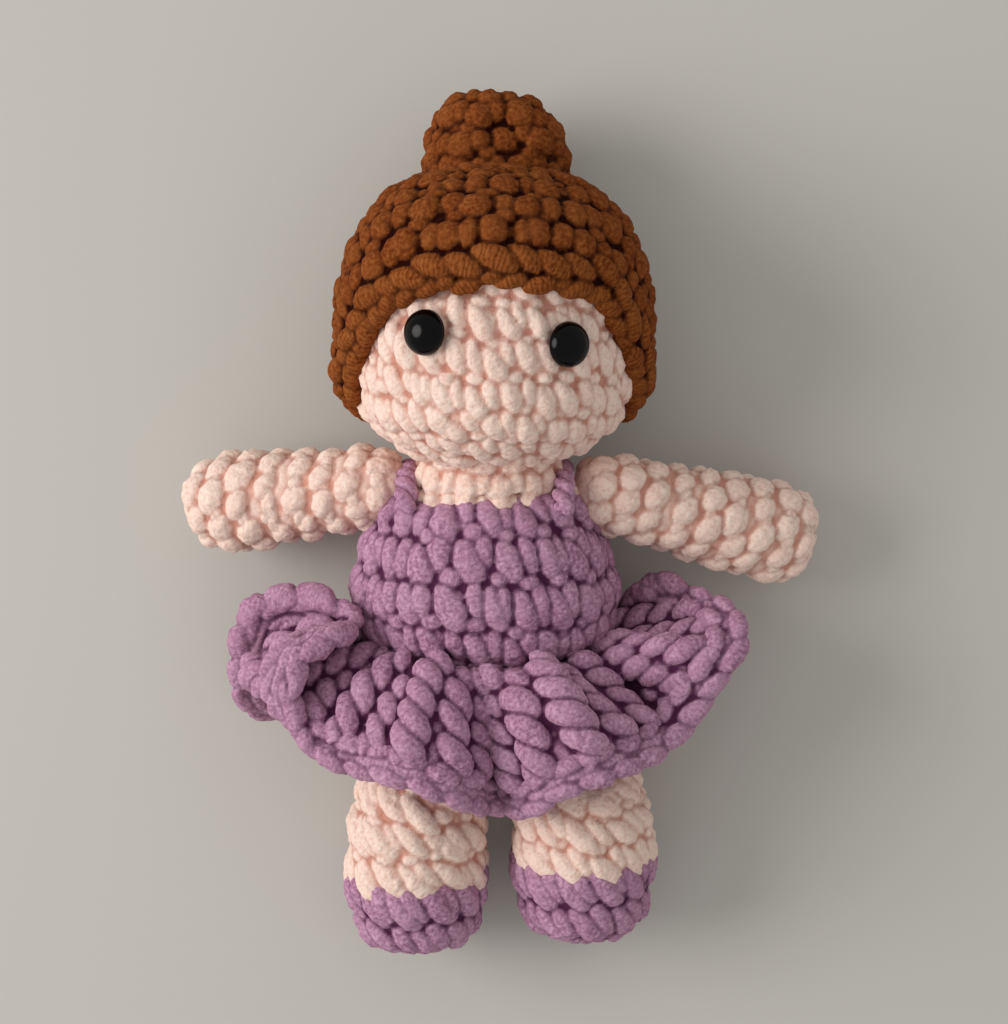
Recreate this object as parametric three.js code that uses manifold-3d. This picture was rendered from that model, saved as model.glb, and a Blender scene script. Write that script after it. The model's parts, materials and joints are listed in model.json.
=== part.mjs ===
// A crocheted ballerina doll that lies on its back: stuffed head, body, arms and legs,
// a hair cap with a bun, safety eyes with washers, and a ruffled skirt.
// Millimetres. +Z is the doll's front, +Y its head, and z = 0 the surface that it lies on.
import * as THREE from 'three';
import { mergeVertices } from 'three/addons/utils/BufferGeometryUtils.js';
import Module from 'manifold-3d';

const wasm = await Module();
wasm.setup();

// Clearances between neighbouring pieces
const SEAM_GAP = 0.3;
const SOCKET_GAP = 0.7;
const STUFFING_GAP = 0.6;

// Fabric: one layer of crocheted chenille yarn
const FABRIC = 6;
const CAP_FABRIC = 6.6;
const SKIRT_FABRIC = 7;

// Body: height along its own axis against radius, from the crotch to the neckline
const BODY_DEPTH_SHARE = 0.8;
const BODY_LEAN = -2;
const HEAD_LEAN = -0.8;
const BODY_AXIS_HEIGHT = 26.3;
const BODY_TILT = 12.5;
const BACK_FLAT_CENTRE = 8;
const BACK_HOLLOW = 5.5;
const BACK_HOLLOW_HEIGHT = -18;
const BACK_HOLLOW_SPAN = 11.5;
const CROTCH_HEIGHT = -33;
const SEAT_HEIGHT = -29.8;
const SEAT_RADIUS = 20.5;
const HIP_HEIGHT = -22;
const HIP_RADIUS = 28.5;
const WAIST_HEIGHT = -11;
const WAIST_RADIUS = 31.7;
const BELLY_HEIGHT = 3;
const BELLY_RADIUS = 36.5;
const CHEST_HEIGHT = 20;
const CHEST_RADIUS = 33;
const SHOULDER_HEIGHT = 31;
const SHOULDER_RADIUS = 28.3;
const NECKLINE_HEIGHT = 33.5;
const YOKE_TOP_HEIGHT = 37.2;
const YOKE_TOP_RADIUS = 20.5;

// Neck: a short round that the head nods on
const NECK_RADIUS = 17.5;
const NECK_RISE = 3.3;
const NECK_LENGTH = 8.5;
const NECK_BORE = 10.5;
const NECK_CENTRE_HEIGHT = YOKE_TOP_HEIGHT + NECK_RISE;
const NECK_TOP_HEIGHT = NECK_CENTRE_HEIGHT + NECK_LENGTH;

// Head, along the body's axis: rises are above its base
const HEAD_ABOVE_NECK = 1.9;
const HEAD_BASE_HEIGHT = NECK_CENTRE_HEIGHT + HEAD_ABOVE_NECK;
const HEAD_BASE_RADIUS = 20.5;
const HEAD_RADIUS = 38;
const HEAD_DEPTH_SHARE = 0.97;
const HEAD_HALF_HEIGHT = 41;
const HEAD_CENTRE_RISE = 32.6;
const CHIN_RISE = 5.6;
const CHIN_RADIUS = 30.5;
const CHEEK_RISE = 12.6;
const CHEEK_RADIUS = 36.2;
const WIDEST_RISE = 28.6;
const TEMPLE_RISE = 51.6;
const TEMPLE_RADIUS = 34.2;
const CROWN_RISE = 67.6;
const CROWN_RADIUS = 22;
const HEAD_CENTRE_HEIGHT = HEAD_BASE_HEIGHT + HEAD_CENTRE_RISE;

// Hair
const BROW_CLEARANCE = 4.1;
const HAIRLINE_BROW_DEPTH = 34.5;
const HAIRLINE_TILT = 46.4;
const HAIR_NAPE_RISE = 7.6;
const BUN_RADIUS = 21;
const BUN_HALF_HEIGHT = 18.5;
const BUN_ROOT_SINK = 8;
const BUN_LEAN = 33;

// Eyes: domed safety eyes, each with a post and a washer inside the face
const EYE_RADIUS = 6;
const EYE_DOME = 4.2;
const EYE_SEAT = 1;
const EYE_RIM = 0.6;
const EYE_POST_RADIUS = 1.8;
const EYE_POST_LENGTH = 13;
const EYE_LEFT = { x: -17.9, aboveCentre: 6.4 };
const EYE_RIGHT = { x: 19.1, aboveCentre: 3.2 };
const WASHER_RADIUS = 6.5;
const WASHER_THICKNESS = 1.6;
const WASHER_CLEARANCE = 0.15;
const WASHER_SLACK = 0.7;

// Straps over the shoulders
const STRAP_WIDTH = 5;
const STRAP_THICKNESS = 2.6;
const STRAP_SPACING = 42;

// Arms: distance from the shoulder against radius
const SHOULDER_BALL = 8.6;
const ARM_STITCH_RADIUS = 3.8;
const ARM_STITCH_THICKNESS = 1.2;
const UPPER_ARM_RADIUS = 12.6;
const FOREARM_RADIUS = 13.8;
const HAND_RADIUS = 14.6;
const UPPER_ARM_AT = 14;
const FOREARM_AT = 28;
const HAND_FROM_TIP = 14;
const FINGERS_FROM_TIP = 4;
const ARM_LEFT = { x: -34.6, y: 33.6, z: 32.5, length: 56.5, slope: 5.4, droop: 20.5 };
const ARM_RIGHT = { x: 31.4, y: 32, z: 32.5, length: 63, slope: 13, droop: 18.5 };

// Legs and shoes: distance from the hip against radius
const HIP_BALL = 14;
const LEG_STITCH_RADIUS = 6.5;
const LEG_STITCH_THICKNESS = 1.4;
const THIGH_RADIUS = 18.6;
const CALF_RADIUS = 20.4;
const THIGH_AT = 12;
const CALF_AT = 24;
const SOLE_FROM_TIP = 14;
const TOES_FROM_TIP = 3.5;
const LEG_DROOP = 13.5;
const LEG_SLOPE = 90;
const LEG_LEFT = { x: -22.4, y: -41, z: 30.5, length: 57, shoe: 21 };
const LEG_RIGHT = { x: 24, y: -41, z: 30.5, length: 53.6, shoe: 24 };

// Skirt: the hem's lobes and valleys, from the front round the +X side, the back and the -X side,
// as shares of how far the hem spreads sideways, drops towards the feet and lifts off the surface
const SKIRT_INNER_RISE = 1;
const SKIRT_ROOT_INSET = 1;
const RUFFLE_FLARE = 0.42;
const RUFFLE_DROP = 0.3;
const HEM_YARN_RADIUS = 4.2;
const SKIRT_SPREAD = 67;
const SKIRT_DROP = 52;
const SKIRT_LIFT = 67;
const HEM_POINTS = [
  { x: 0, y: -1, z: 0.7313 },
  { x: 0.2388, y: -0.8269, z: 0.9851 },
  { x: 0.5224, y: -0.75, z: 0.9403 },
  { x: 0.7015, y: -0.6923, z: 0.6716 },
  { x: 0.8955, y: -0.4423, z: 0.6716 },
  { x: 0.9851, y: -0.1923, z: 0.5373 },
  { x: 0.9104, y: 0.0192, z: 0.3731 },
  { x: 0.8657, y: 0.0769, z: 0.1791 },
  { x: 0.8209, y: -0.25, z: 0.0746 },
  { x: 0.6269, y: -0.5769, z: 0.0552 },
  { x: 0.2985, y: -0.7308, z: 0.0552 },
  { x: -0.0896, y: -0.6923, z: 0.0552 },
  { x: -0.4478, y: -0.6923, z: 0.0552 },
  { x: -0.7761, y: -0.5, z: 0.0552 },
  { x: -0.8955, y: -0.1154, z: 0.1194 },
  { x: -0.8955, y: 0.0385, z: 0.3284 },
  { x: -1, y: -0.1923, z: 0.5075 },
  { x: -0.9701, y: -0.5, z: 0.6418 },
  { x: -0.7463, y: -0.6923, z: 0.6269 },
  { x: -0.5522, y: -0.75, z: 0.8955 },
  { x: -0.2836, y: -0.8269, z: 1 },
];

const SEGMENTS = 18;
const SMALL_SEGMENTS = 12;
const BALL_SEGMENTS = 16;
const degrees = Math.PI / 180;

const skin = new THREE.MeshStandardMaterial({ color: 0xf2cfc2, roughness: 0.95, metalness: 0 });
const purple = new THREE.MeshStandardMaterial({ color: 0x9b72ab, roughness: 0.95, metalness: 0 });
const brown = new THREE.MeshStandardMaterial({ color: 0x87421d, roughness: 0.95, metalness: 0 });
const gloss = new THREE.MeshStandardMaterial({ color: 0x0a0a0c, roughness: 0.12, metalness: 0 });
const plastic = new THREE.MeshStandardMaterial({ color: 0xd9d9d6, roughness: 0.5, metalness: 0 });
const fibre = new THREE.MeshStandardMaterial({ color: 0xf4f3ef, roughness: 1, metalness: 0 });

// A closed solid from a three.js geometry: seams merged, slivers at the poles dropped
function solid(geometry) {
  const bare = geometry.clone();
  bare.deleteAttribute('uv');
  bare.deleteAttribute('normal');
  const merged = mergeVertices(bare, 1e-4);
  const corners = [];
  const index = merged.index.array;
  for (let i = 0; i < index.length; i += 3) {
    const [a, b, c] = [index[i], index[i + 1], index[i + 2]];
    if (a !== b && b !== c && c !== a) {
      corners.push(a, b, c);
    }
  }
  return new wasm.Manifold(new wasm.Mesh({
    numProp: 3,
    vertProperties: new Float32Array(merged.attributes.position.array),
    triVerts: new Uint32Array(corners),
  }));
}

function geometryOf(shape) {
  const mesh = shape.getMesh();
  const geometry = new THREE.BufferGeometry();
  geometry.setAttribute('position', new THREE.BufferAttribute(new Float32Array(mesh.vertProperties), 3));
  geometry.setIndex(new THREE.BufferAttribute(new Uint32Array(mesh.triVerts), 1));
  return geometry;
}

function piece(name, shape, material) {
  const mesh = new THREE.Mesh(geometryOf(shape), material);
  mesh.name = name;
  return mesh;
}

// A solid of revolution about +Y through smooth points [radius, height], from the lowest to the highest
function turned(points, segments, steps, depthShare = 1) {
  const curve = new THREE.SplineCurve(points.map(([radius, height]) => new THREE.Vector2(radius, height)));
  const profile = curve.getPoints(steps);
  profile[0].x = 0;
  profile[profile.length - 1].x = 0;
  for (const point of profile) {
    point.x = Math.max(point.x, 0);
  }
  const geometry = new THREE.LatheGeometry(profile, segments);
  geometry.scale(1, 1, depthShare);
  return geometry;
}

// The same outline drawn in by a wall, for a lining or a filling
function drawnIn(points, wall) {
  const first = points[0];
  const last = points[points.length - 1];
  const middle = (first[1] + last[1]) / 2;
  const half = (last[1] - first[1]) / 2;
  return points.map(([radius, height]) => [
    Math.max(radius - wall, 0),
    middle + (height - middle) * (half - wall) / half,
  ]);
}

function ball(radius, x, y, z) {
  const geometry = new THREE.SphereGeometry(radius, BALL_SEGMENTS, BALL_SEGMENTS / 2);
  geometry.translate(x, y, z);
  return geometry;
}

function block(low, high) {
  const size = high.clone().sub(low);
  const geometry = new THREE.BoxGeometry(size.x, size.y, size.z);
  const centre = low.clone().add(high).multiplyScalar(0.5);
  geometry.translate(centre.x, centre.y, centre.z);
  return geometry;
}

// Far outside the doll, for half spaces
const FAR = 300;
function above(height) {
  return solid(block(new THREE.Vector3(-FAR, height, -FAR), new THREE.Vector3(FAR, FAR, FAR)));
}
function below(height) {
  return solid(block(new THREE.Vector3(-FAR, -FAR, -FAR), new THREE.Vector3(FAR, height, FAR)));
}
const underTable = solid(block(new THREE.Vector3(-FAR, -FAR, -FAR), new THREE.Vector3(FAR, FAR, 0)));

// The body's own frame: +Y up the spine, tilted so that both head and seat touch the surface
const bodyFrame = new THREE.Matrix4()
  .makeTranslation(BODY_LEAN, 0, BODY_AXIS_HEIGHT)
  .multiply(new THREE.Matrix4().makeRotationX(BODY_TILT * degrees));
const headFrame = new THREE.Matrix4()
  .makeTranslation(HEAD_LEAN, 0, BODY_AXIS_HEIGHT)
  .multiply(new THREE.Matrix4().makeRotationX(BODY_TILT * degrees));

function inFrame(geometry, frame) {
  return solid(geometry.clone().applyMatrix4(frame));
}
function shapeInFrame(shape, frame) {
  return solid(geometryOf(shape).applyMatrix4(frame));
}

// Body outline
const bodyPoints = [
  [0, CROTCH_HEIGHT],
  [SEAT_RADIUS, SEAT_HEIGHT],
  [HIP_RADIUS, HIP_HEIGHT],
  [WAIST_RADIUS, WAIST_HEIGHT],
  [BELLY_RADIUS, BELLY_HEIGHT],
  [CHEST_RADIUS, CHEST_HEIGHT],
  [SHOULDER_RADIUS, SHOULDER_HEIGHT],
  [YOKE_TOP_RADIUS, YOKE_TOP_HEIGHT],
  [0, YOKE_TOP_HEIGHT + 1],
];
const BODY_STEPS = 13;
// The body as a layer of a given wall, with the small of its back drawn in to make room for the skirt
function bodyLayer(wall, segments = SEGMENTS, steps = BODY_STEPS) {
  const geometry = turned(drawnIn(bodyPoints, wall), segments, steps, BODY_DEPTH_SHARE);
  const place = geometry.attributes.position;
  for (let i = 0; i < place.count; i += 1) {
    const away = (place.getY(i) - BACK_HOLLOW_HEIGHT) / BACK_HOLLOW_SPAN;
    const back = Math.max(-place.getZ(i), 0) / (WAIST_RADIUS * BODY_DEPTH_SHARE);
    place.setZ(i, place.getZ(i) + BACK_HOLLOW * back * Math.exp(-away * away));
  }
  return geometry;
}
const bodyOuter = bodyLayer(0);
const bodyInner = bodyLayer(FABRIC, SMALL_SEGMENTS);
const bodyFill = bodyLayer(FABRIC + STUFFING_GAP, SMALL_SEGMENTS);
const bodyGrown = bodyLayer(-SEAM_GAP);

// Sockets that the limbs' roots and the sewing stitches sit in
function sockets(room) {
  const armSocket = SHOULDER_BALL + ARM_STITCH_THICKNESS + SEAM_GAP + room;
  const legSocket = HIP_BALL + LEG_STITCH_THICKNESS + SEAM_GAP + room;
  return [[ARM_LEFT, armSocket], [ARM_RIGHT, armSocket], [LEG_LEFT, legSocket], [LEG_RIGHT, legSocket]]
    .map(([limb, radius]) => solid(ball(radius, limb.x, limb.y, limb.z)))
    .reduce((sum, one) => sum.add(one));
}
const allSockets = sockets(SOCKET_GAP);

// The head nods on this ball, which its lower end and its filling leave room for
function neckBall(room) {
  return solid(ball(NECK_RADIUS + room, 0, NECK_CENTRE_HEIGHT, 0));
}
const neckRoom = neckBall(SOCKET_GAP);
function column(radius, low, high) {
  const geometry = new THREE.CylinderGeometry(radius, radius, high - low, SMALL_SEGMENTS);
  geometry.translate(0, (low + high) / 2, 0);
  return solid(geometry);
}
const neckBore = column(NECK_BORE, 0, NECK_TOP_HEIGHT + NECK_RADIUS);

// Bodice, yoke and the filling of the body
const bodyWall = solid(bodyOuter).subtract(solid(bodyInner)).subtract(neckBore);
const bodice = shapeInFrame(bodyWall.intersect(below(NECKLINE_HEIGHT - SEAM_GAP)), bodyFrame)
  .subtract(allSockets).subtract(underTable);
const yoke = shapeInFrame(
  bodyWall.intersect(above(NECKLINE_HEIGHT)).intersect(below(YOKE_TOP_HEIGHT)),
  bodyFrame,
).subtract(allSockets);

// A strap over each shoulder, lying on the yoke and running down to the neckline front and back
function strap(side) {
  const near = side * (STRAP_SPACING - STRAP_WIDTH) / 2;
  const far = side * (STRAP_SPACING + STRAP_WIDTH) / 2;
  const slab = block(
    new THREE.Vector3(Math.min(near, far), NECKLINE_HEIGHT + SEAM_GAP, -FAR),
    new THREE.Vector3(Math.max(near, far), FAR, FAR),
  );
  const over = solid(bodyLayer(-SEAM_GAP - STRAP_THICKNESS));
  return shapeInFrame(
    over.subtract(solid(bodyGrown)).intersect(solid(slab)).subtract(neckRoom),
    bodyFrame,
  ).subtract(allSockets);
}
const neckPlug = column(NECK_BORE - STUFFING_GAP, 0, NECK_TOP_HEIGHT - STUFFING_GAP);
const bodyStuffing = shapeInFrame(solid(bodyFill).add(neckPlug), bodyFrame)
  .subtract(sockets(SOCKET_GAP + STUFFING_GAP));

// Neck: a ring with a ball-shaped outside, so the head can nod over it
const neck = shapeInFrame(
  neckBall(0)
    .intersect(above(YOKE_TOP_HEIGHT + SEAM_GAP))
    .intersect(below(NECK_TOP_HEIGHT))
    .subtract(neckBore),
  bodyFrame,
);

// Head outline
const headPoints = [
  [0, HEAD_BASE_HEIGHT - 1],
  [HEAD_BASE_RADIUS, HEAD_BASE_HEIGHT],
  [CHIN_RADIUS, HEAD_BASE_HEIGHT + CHIN_RISE],
  [CHEEK_RADIUS, HEAD_BASE_HEIGHT + CHEEK_RISE],
  [HEAD_RADIUS, HEAD_BASE_HEIGHT + WIDEST_RISE],
  [TEMPLE_RADIUS, HEAD_BASE_HEIGHT + TEMPLE_RISE],
  [CROWN_RADIUS, HEAD_BASE_HEIGHT + CROWN_RISE],
  [0, HEAD_CENTRE_HEIGHT + HEAD_HALF_HEIGHT],
];
const HEAD_STEPS = 13;
const headOuter = solid(turned(headPoints, SEGMENTS, HEAD_STEPS, HEAD_DEPTH_SHARE));
const headInner = solid(turned(drawnIn(headPoints, FABRIC), SMALL_SEGMENTS, HEAD_STEPS, HEAD_DEPTH_SHARE));
const headFill = solid(
  turned(drawnIn(headPoints, FABRIC + STUFFING_GAP), SMALL_SEGMENTS, HEAD_STEPS, HEAD_DEPTH_SHARE),
);
const neckRoomOnHead = shapeInFrame(neckRoom, bodyFrame);
const neckRoomInside = shapeInFrame(neckBall(SOCKET_GAP + STUFFING_GAP), bodyFrame);

// Each eye stands square to the face where its post passes through the fabric
function eyeFrame(eye) {
  const across = eye.x / HEAD_RADIUS;
  const up = eye.aboveCentre / HEAD_HALF_HEIGHT;
  const front = Math.sqrt(1 - across * across - up * up);
  const depth = HEAD_RADIUS * HEAD_DEPTH_SHARE;
  const place = new THREE.Vector3(eye.x, HEAD_CENTRE_HEIGHT + eye.aboveCentre, depth * front);
  const out = new THREE.Vector3(across / HEAD_RADIUS, up / HEAD_HALF_HEIGHT, front / depth).normalize();
  const turn = new THREE.Quaternion().setFromUnitVectors(new THREE.Vector3(0, 1, 0), out);
  return headFrame.clone().multiply(new THREE.Matrix4().compose(place, turn, new THREE.Vector3(1, 1, 1)));
}
function revolved(profile) {
  const points = profile.map(([radius, height]) => new THREE.Vector2(radius, height));
  return new THREE.LatheGeometry(points, SMALL_SEGMENTS);
}
const DOME_STEPS = 5;
function eyeGeometry() {
  const rim = EYE_SEAT + EYE_RIM;
  const profile = [[0, -EYE_POST_LENGTH], [EYE_POST_RADIUS, -EYE_POST_LENGTH], [EYE_POST_RADIUS, EYE_SEAT]];
  profile.push([EYE_RADIUS, EYE_SEAT]);
  for (let i = 1; i < DOME_STEPS; i += 1) {
    const angle = (i / DOME_STEPS) * Math.PI / 2;
    profile.push([EYE_RADIUS * Math.cos(angle), rim + EYE_DOME * Math.sin(angle)]);
  }
  profile.push([0, rim + EYE_DOME]);
  return revolved(profile);
}
const washerTop = -FABRIC - SEAM_GAP - WASHER_SLACK;
function washerGeometry() {
  const low = washerTop - WASHER_THICKNESS;
  const bore = EYE_POST_RADIUS + WASHER_CLEARANCE;
  const section = [[bore, low], [WASHER_RADIUS, low], [WASHER_RADIUS, washerTop], [bore, washerTop]];
  return revolved([...section, section[0]]);
}
const eyeFrames = [eyeFrame(EYE_LEFT), eyeFrame(EYE_RIGHT)];
function room(radius, low, high) {
  return new THREE.CylinderGeometry(radius + SEAM_GAP, radius + SEAM_GAP, high - low, SMALL_SEGMENTS)
    .translate(0, (low + high) / 2, 0);
}
const eyeRoom = room(EYE_POST_RADIUS, -EYE_POST_LENGTH - STUFFING_GAP, EYE_POST_LENGTH);
const eyeSeat = room(EYE_RADIUS, EYE_SEAT - SEAM_GAP, EYE_POST_LENGTH);
const washerRoom = room(WASHER_RADIUS, washerTop - WASHER_THICKNESS - STUFFING_GAP, washerTop + SEAM_GAP);
const eyeCut = eyeFrames
  .flatMap((frame) => [eyeRoom, eyeSeat, washerRoom].map((shape) => inFrame(shape, frame)))
  .reduce((sum, one) => sum.add(one));
const headShell = shapeInFrame(headOuter.subtract(headInner), headFrame)
  .subtract(neckRoomOnHead)
  .subtract(eyeCut);
const headStuffing = shapeInFrame(headFill, headFrame).subtract(neckRoomInside).subtract(eyeCut);

// Hair cap: a bowl over the head, cut back from the face by a tilted hairline
const capOuter = solid(
  turned(drawnIn(headPoints, -CAP_FABRIC - SEAM_GAP), SEGMENTS, HEAD_STEPS, HEAD_DEPTH_SHARE),
);
const capInner = solid(turned(drawnIn(headPoints, -SEAM_GAP), SEGMENTS, HEAD_STEPS, HEAD_DEPTH_SHARE));
const browHeight = HEAD_CENTRE_HEIGHT
  + Math.max(EYE_LEFT.aboveCentre, EYE_RIGHT.aboveCentre) + EYE_RADIUS + BROW_CLEARANCE;
const faceWindow = solid(
  new THREE.BoxGeometry(2 * FAR, FAR, 2 * FAR)
    .translate(0, -FAR / 2, 0)
    .rotateX(-HAIRLINE_TILT * degrees)
    .translate(0, browHeight, HAIRLINE_BROW_DEPTH),
);
const hairCap = shapeInFrame(
  capOuter.subtract(capInner).subtract(faceWindow).intersect(above(HEAD_BASE_HEIGHT + HAIR_NAPE_RISE)),
  headFrame,
).subtract(underTable);

// Bun, sewn on the crown and leaning back, over a round of seam yarn
const bunFrame = headFrame.clone()
  .multiply(new THREE.Matrix4().makeTranslation(0, HEAD_CENTRE_HEIGHT, 0))
  .multiply(new THREE.Matrix4().makeRotationX(-BUN_LEAN * degrees))
  .multiply(new THREE.Matrix4().makeTranslation(
    0,
    HEAD_HALF_HEIGHT + CAP_FABRIC + BUN_HALF_HEIGHT - BUN_ROOT_SINK,
    0,
  ));
// The bun's outline turns in at this share of its radius and of its half height
const BUN_FULLNESS = 0.76;
const bunPoints = [
  [0, -BUN_HALF_HEIGHT],
  [BUN_RADIUS * BUN_FULLNESS, -BUN_HALF_HEIGHT * BUN_FULLNESS],
  [BUN_RADIUS, 0],
  [BUN_RADIUS * BUN_FULLNESS, BUN_HALF_HEIGHT * BUN_FULLNESS],
  [0, BUN_HALF_HEIGHT],
];
const BUN_STEPS = 9;
const headGrown = shapeInFrame(
  solid(turned(drawnIn(headPoints, -CAP_FABRIC - 2 * SEAM_GAP), SEGMENTS, HEAD_STEPS, HEAD_DEPTH_SHARE)),
  headFrame,
);
const bunOuter = inFrame(turned(bunPoints, SMALL_SEGMENTS, BUN_STEPS), bunFrame);
const bunInner = inFrame(turned(drawnIn(bunPoints, FABRIC), SMALL_SEGMENTS, BUN_STEPS), bunFrame);
const bunBore = inFrame(
  new THREE.CylinderGeometry(NECK_BORE, NECK_BORE, BUN_HALF_HEIGHT * 2, SMALL_SEGMENTS)
    .translate(0, -BUN_HALF_HEIGHT, 0),
  bunFrame,
);
const bun = bunOuter.subtract(bunInner).subtract(bunBore).subtract(headGrown).subtract(underTable);
const bunStuffing = inFrame(
  turned(drawnIn(bunPoints, FABRIC + STUFFING_GAP), SMALL_SEGMENTS, BUN_STEPS),
  bunFrame,
).subtract(headGrown);

// Arms, legs and shoes are turned about the line from the joint to the tip
function limbFrame(limb, side, droop, slope) {
  const level = Math.cos(droop);
  const out = new THREE.Vector3(side * Math.cos(slope) * level, -Math.sin(slope) * level, -Math.sin(droop));
  const turn = new THREE.Quaternion().setFromUnitVectors(new THREE.Vector3(0, 1, 0), out);
  return new THREE.Matrix4().compose(
    new THREE.Vector3(limb.x, limb.y, limb.z),
    turn,
    new THREE.Vector3(1, 1, 1),
  );
}
const LIMB_STEPS = 12;
const FILL_STEPS = 10;

// Both ends of a limb are round: where the radius is down to this share of its full size
const ROUNDING = 0.75;
const ROUNDING_LENGTH = Math.sqrt(1 - ROUNDING * ROUNDING);
function armPoints(length) {
  return [
    [0, -SHOULDER_BALL],
    [SHOULDER_BALL * ROUNDING, -SHOULDER_BALL * ROUNDING_LENGTH],
    [SHOULDER_BALL, 0],
    [UPPER_ARM_RADIUS, UPPER_ARM_AT],
    [FOREARM_RADIUS, FOREARM_AT],
    [HAND_RADIUS, length - HAND_FROM_TIP],
    [HAND_RADIUS * ROUNDING, length - FINGERS_FROM_TIP],
    [0, length],
  ];
}
function legPoints(length) {
  return [
    [0, -HIP_BALL],
    [HIP_BALL * ROUNDING, -HIP_BALL * ROUNDING_LENGTH],
    [HIP_BALL, 0],
    [THIGH_RADIUS, THIGH_AT],
    [CALF_RADIUS, CALF_AT],
    [CALF_RADIUS, length - SOLE_FROM_TIP],
    [CALF_RADIUS * ROUNDING, length - TOES_FROM_TIP],
    [0, length],
  ];
}
// The starting ring of a limb's first round stays open at its root
const ROOT_BORE = 3;
const ROOT_BORE_SIDES = 8;
function rootBore(frame, ballRadius) {
  return inFrame(
    new THREE.CylinderGeometry(ROOT_BORE, ROOT_BORE, ballRadius * 2, ROOT_BORE_SIDES)
      .translate(0, -ballRadius, 0),
    frame,
  );
}

// A round of sewing yarn between a limb's ball-shaped root and the body: a shallow bowl
const STITCH_STEPS = 3;
function stitch(frame, ballRadius, radius, thickness) {
  const angle = Math.asin(radius / ballRadius);
  const inside = ballRadius + SEAM_GAP;
  const outside = inside + thickness;
  const arc = (size) => Array.from({ length: STITCH_STEPS + 1 }, (_, i) => {
    const turn = angle * i / STITCH_STEPS;
    return [size * Math.sin(turn), size * Math.cos(turn)];
  });
  const profile = [...arc(inside), ...arc(outside).reverse(), [0, inside]];
  return inFrame(revolved(profile).rotateX(Math.PI), frame);
}

// The origin is the centre of the flat that the back rests on
const doll = new THREE.Group();
doll.position.y = -BACK_FLAT_CENTRE;
doll.add(
  piece('bodice', bodice, purple),
  piece('yoke', yoke, skin),
  piece('strap_left', strap(-1), purple),
  piece('strap_right', strap(1), purple),
  piece('body_stuffing', bodyStuffing, fibre),
  piece('neck', neck, skin),
  piece('head', headShell, skin),
  piece('head_stuffing', headStuffing, fibre),
  piece('hair_cap', hairCap, brown),
  piece('hair_bun', bun, brown),
  piece('bun_stuffing', bunStuffing, fibre),
);
for (const [i, side] of ['left', 'right'].entries()) {
  doll.add(
    piece(`eye_${side}`, inFrame(eyeGeometry(), eyeFrames[i]), gloss),
    piece(`eye_washer_${side}`, inFrame(washerGeometry(), eyeFrames[i]), plastic),
  );
}

for (const [side, sign, limb] of [['left', -1, ARM_LEFT], ['right', 1, ARM_RIGHT]]) {
  const frame = limbFrame(limb, sign, limb.droop * degrees, limb.slope * degrees);
  const points = armPoints(limb.length);
  const outer = inFrame(turned(points, SMALL_SEGMENTS, LIMB_STEPS), frame);
  const inner = inFrame(turned(drawnIn(points, FABRIC), SMALL_SEGMENTS, LIMB_STEPS), frame);
  const fill = inFrame(turned(drawnIn(points, FABRIC + STUFFING_GAP), SMALL_SEGMENTS, FILL_STEPS), frame);
  doll.add(
    piece(`arm_${side}`, outer.subtract(inner).subtract(rootBore(frame, SHOULDER_BALL)), skin),
    piece(`arm_stuffing_${side}`, fill, fibre),
    piece(`arm_stitch_${side}`, stitch(frame, SHOULDER_BALL, ARM_STITCH_RADIUS, ARM_STITCH_THICKNESS), skin),
  );
}

for (const [side, limb] of [['left', LEG_LEFT], ['right', LEG_RIGHT]]) {
  const frame = limbFrame(limb, 0, LEG_DROOP * degrees, LEG_SLOPE * degrees);
  const points = legPoints(limb.length);
  const outer = turned(points, SEGMENTS, LIMB_STEPS);
  const inner = turned(drawnIn(points, FABRIC), SEGMENTS, LIMB_STEPS);
  const wall = solid(outer).subtract(solid(inner));
  const ankle = limb.length - limb.shoe;
  const leg = shapeInFrame(wall.intersect(below(ankle - SEAM_GAP)), frame)
    .subtract(rootBore(frame, HIP_BALL));
  const shoe = shapeInFrame(wall.intersect(above(ankle)), frame).subtract(underTable);
  const fill = inFrame(turned(drawnIn(points, FABRIC + STUFFING_GAP), SMALL_SEGMENTS, FILL_STEPS), frame);
  doll.add(
    piece(`leg_${side}`, leg, skin),
    piece(`shoe_${side}`, shoe, purple),
    piece(`leg_stuffing_${side}`, fill, fibre),
    piece(`leg_stitch_${side}`, stitch(frame, HIP_BALL, LEG_STITCH_RADIUS, LEG_STITCH_THICKNESS), skin),
  );
}

// Skirt: a ruffle between the waist and the wavy hem
const HEM_STEPS = 3 * HEM_POINTS.length;
const HEM_SIDES = 6;
const RUFFLE_STEPS = 3;
const hemCurve = new THREE.CatmullRomCurve3(
  HEM_POINTS.map(({ x, y, z }) => new THREE.Vector3(x * SKIRT_SPREAD, y * SKIRT_DROP, z * SKIRT_LIFT)),
  true,
  'catmullrom',
);
function waistPoint(share) {
  const angle = share * 2 * Math.PI;
  const radius = WAIST_RADIUS - SKIRT_ROOT_INSET;
  const place = new THREE.Vector3(
    radius * Math.sin(angle),
    WAIST_HEIGHT + SKIRT_INNER_RISE,
    radius * BODY_DEPTH_SHARE * Math.cos(angle),
  );
  return place.applyMatrix4(bodyFrame);
}
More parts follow.
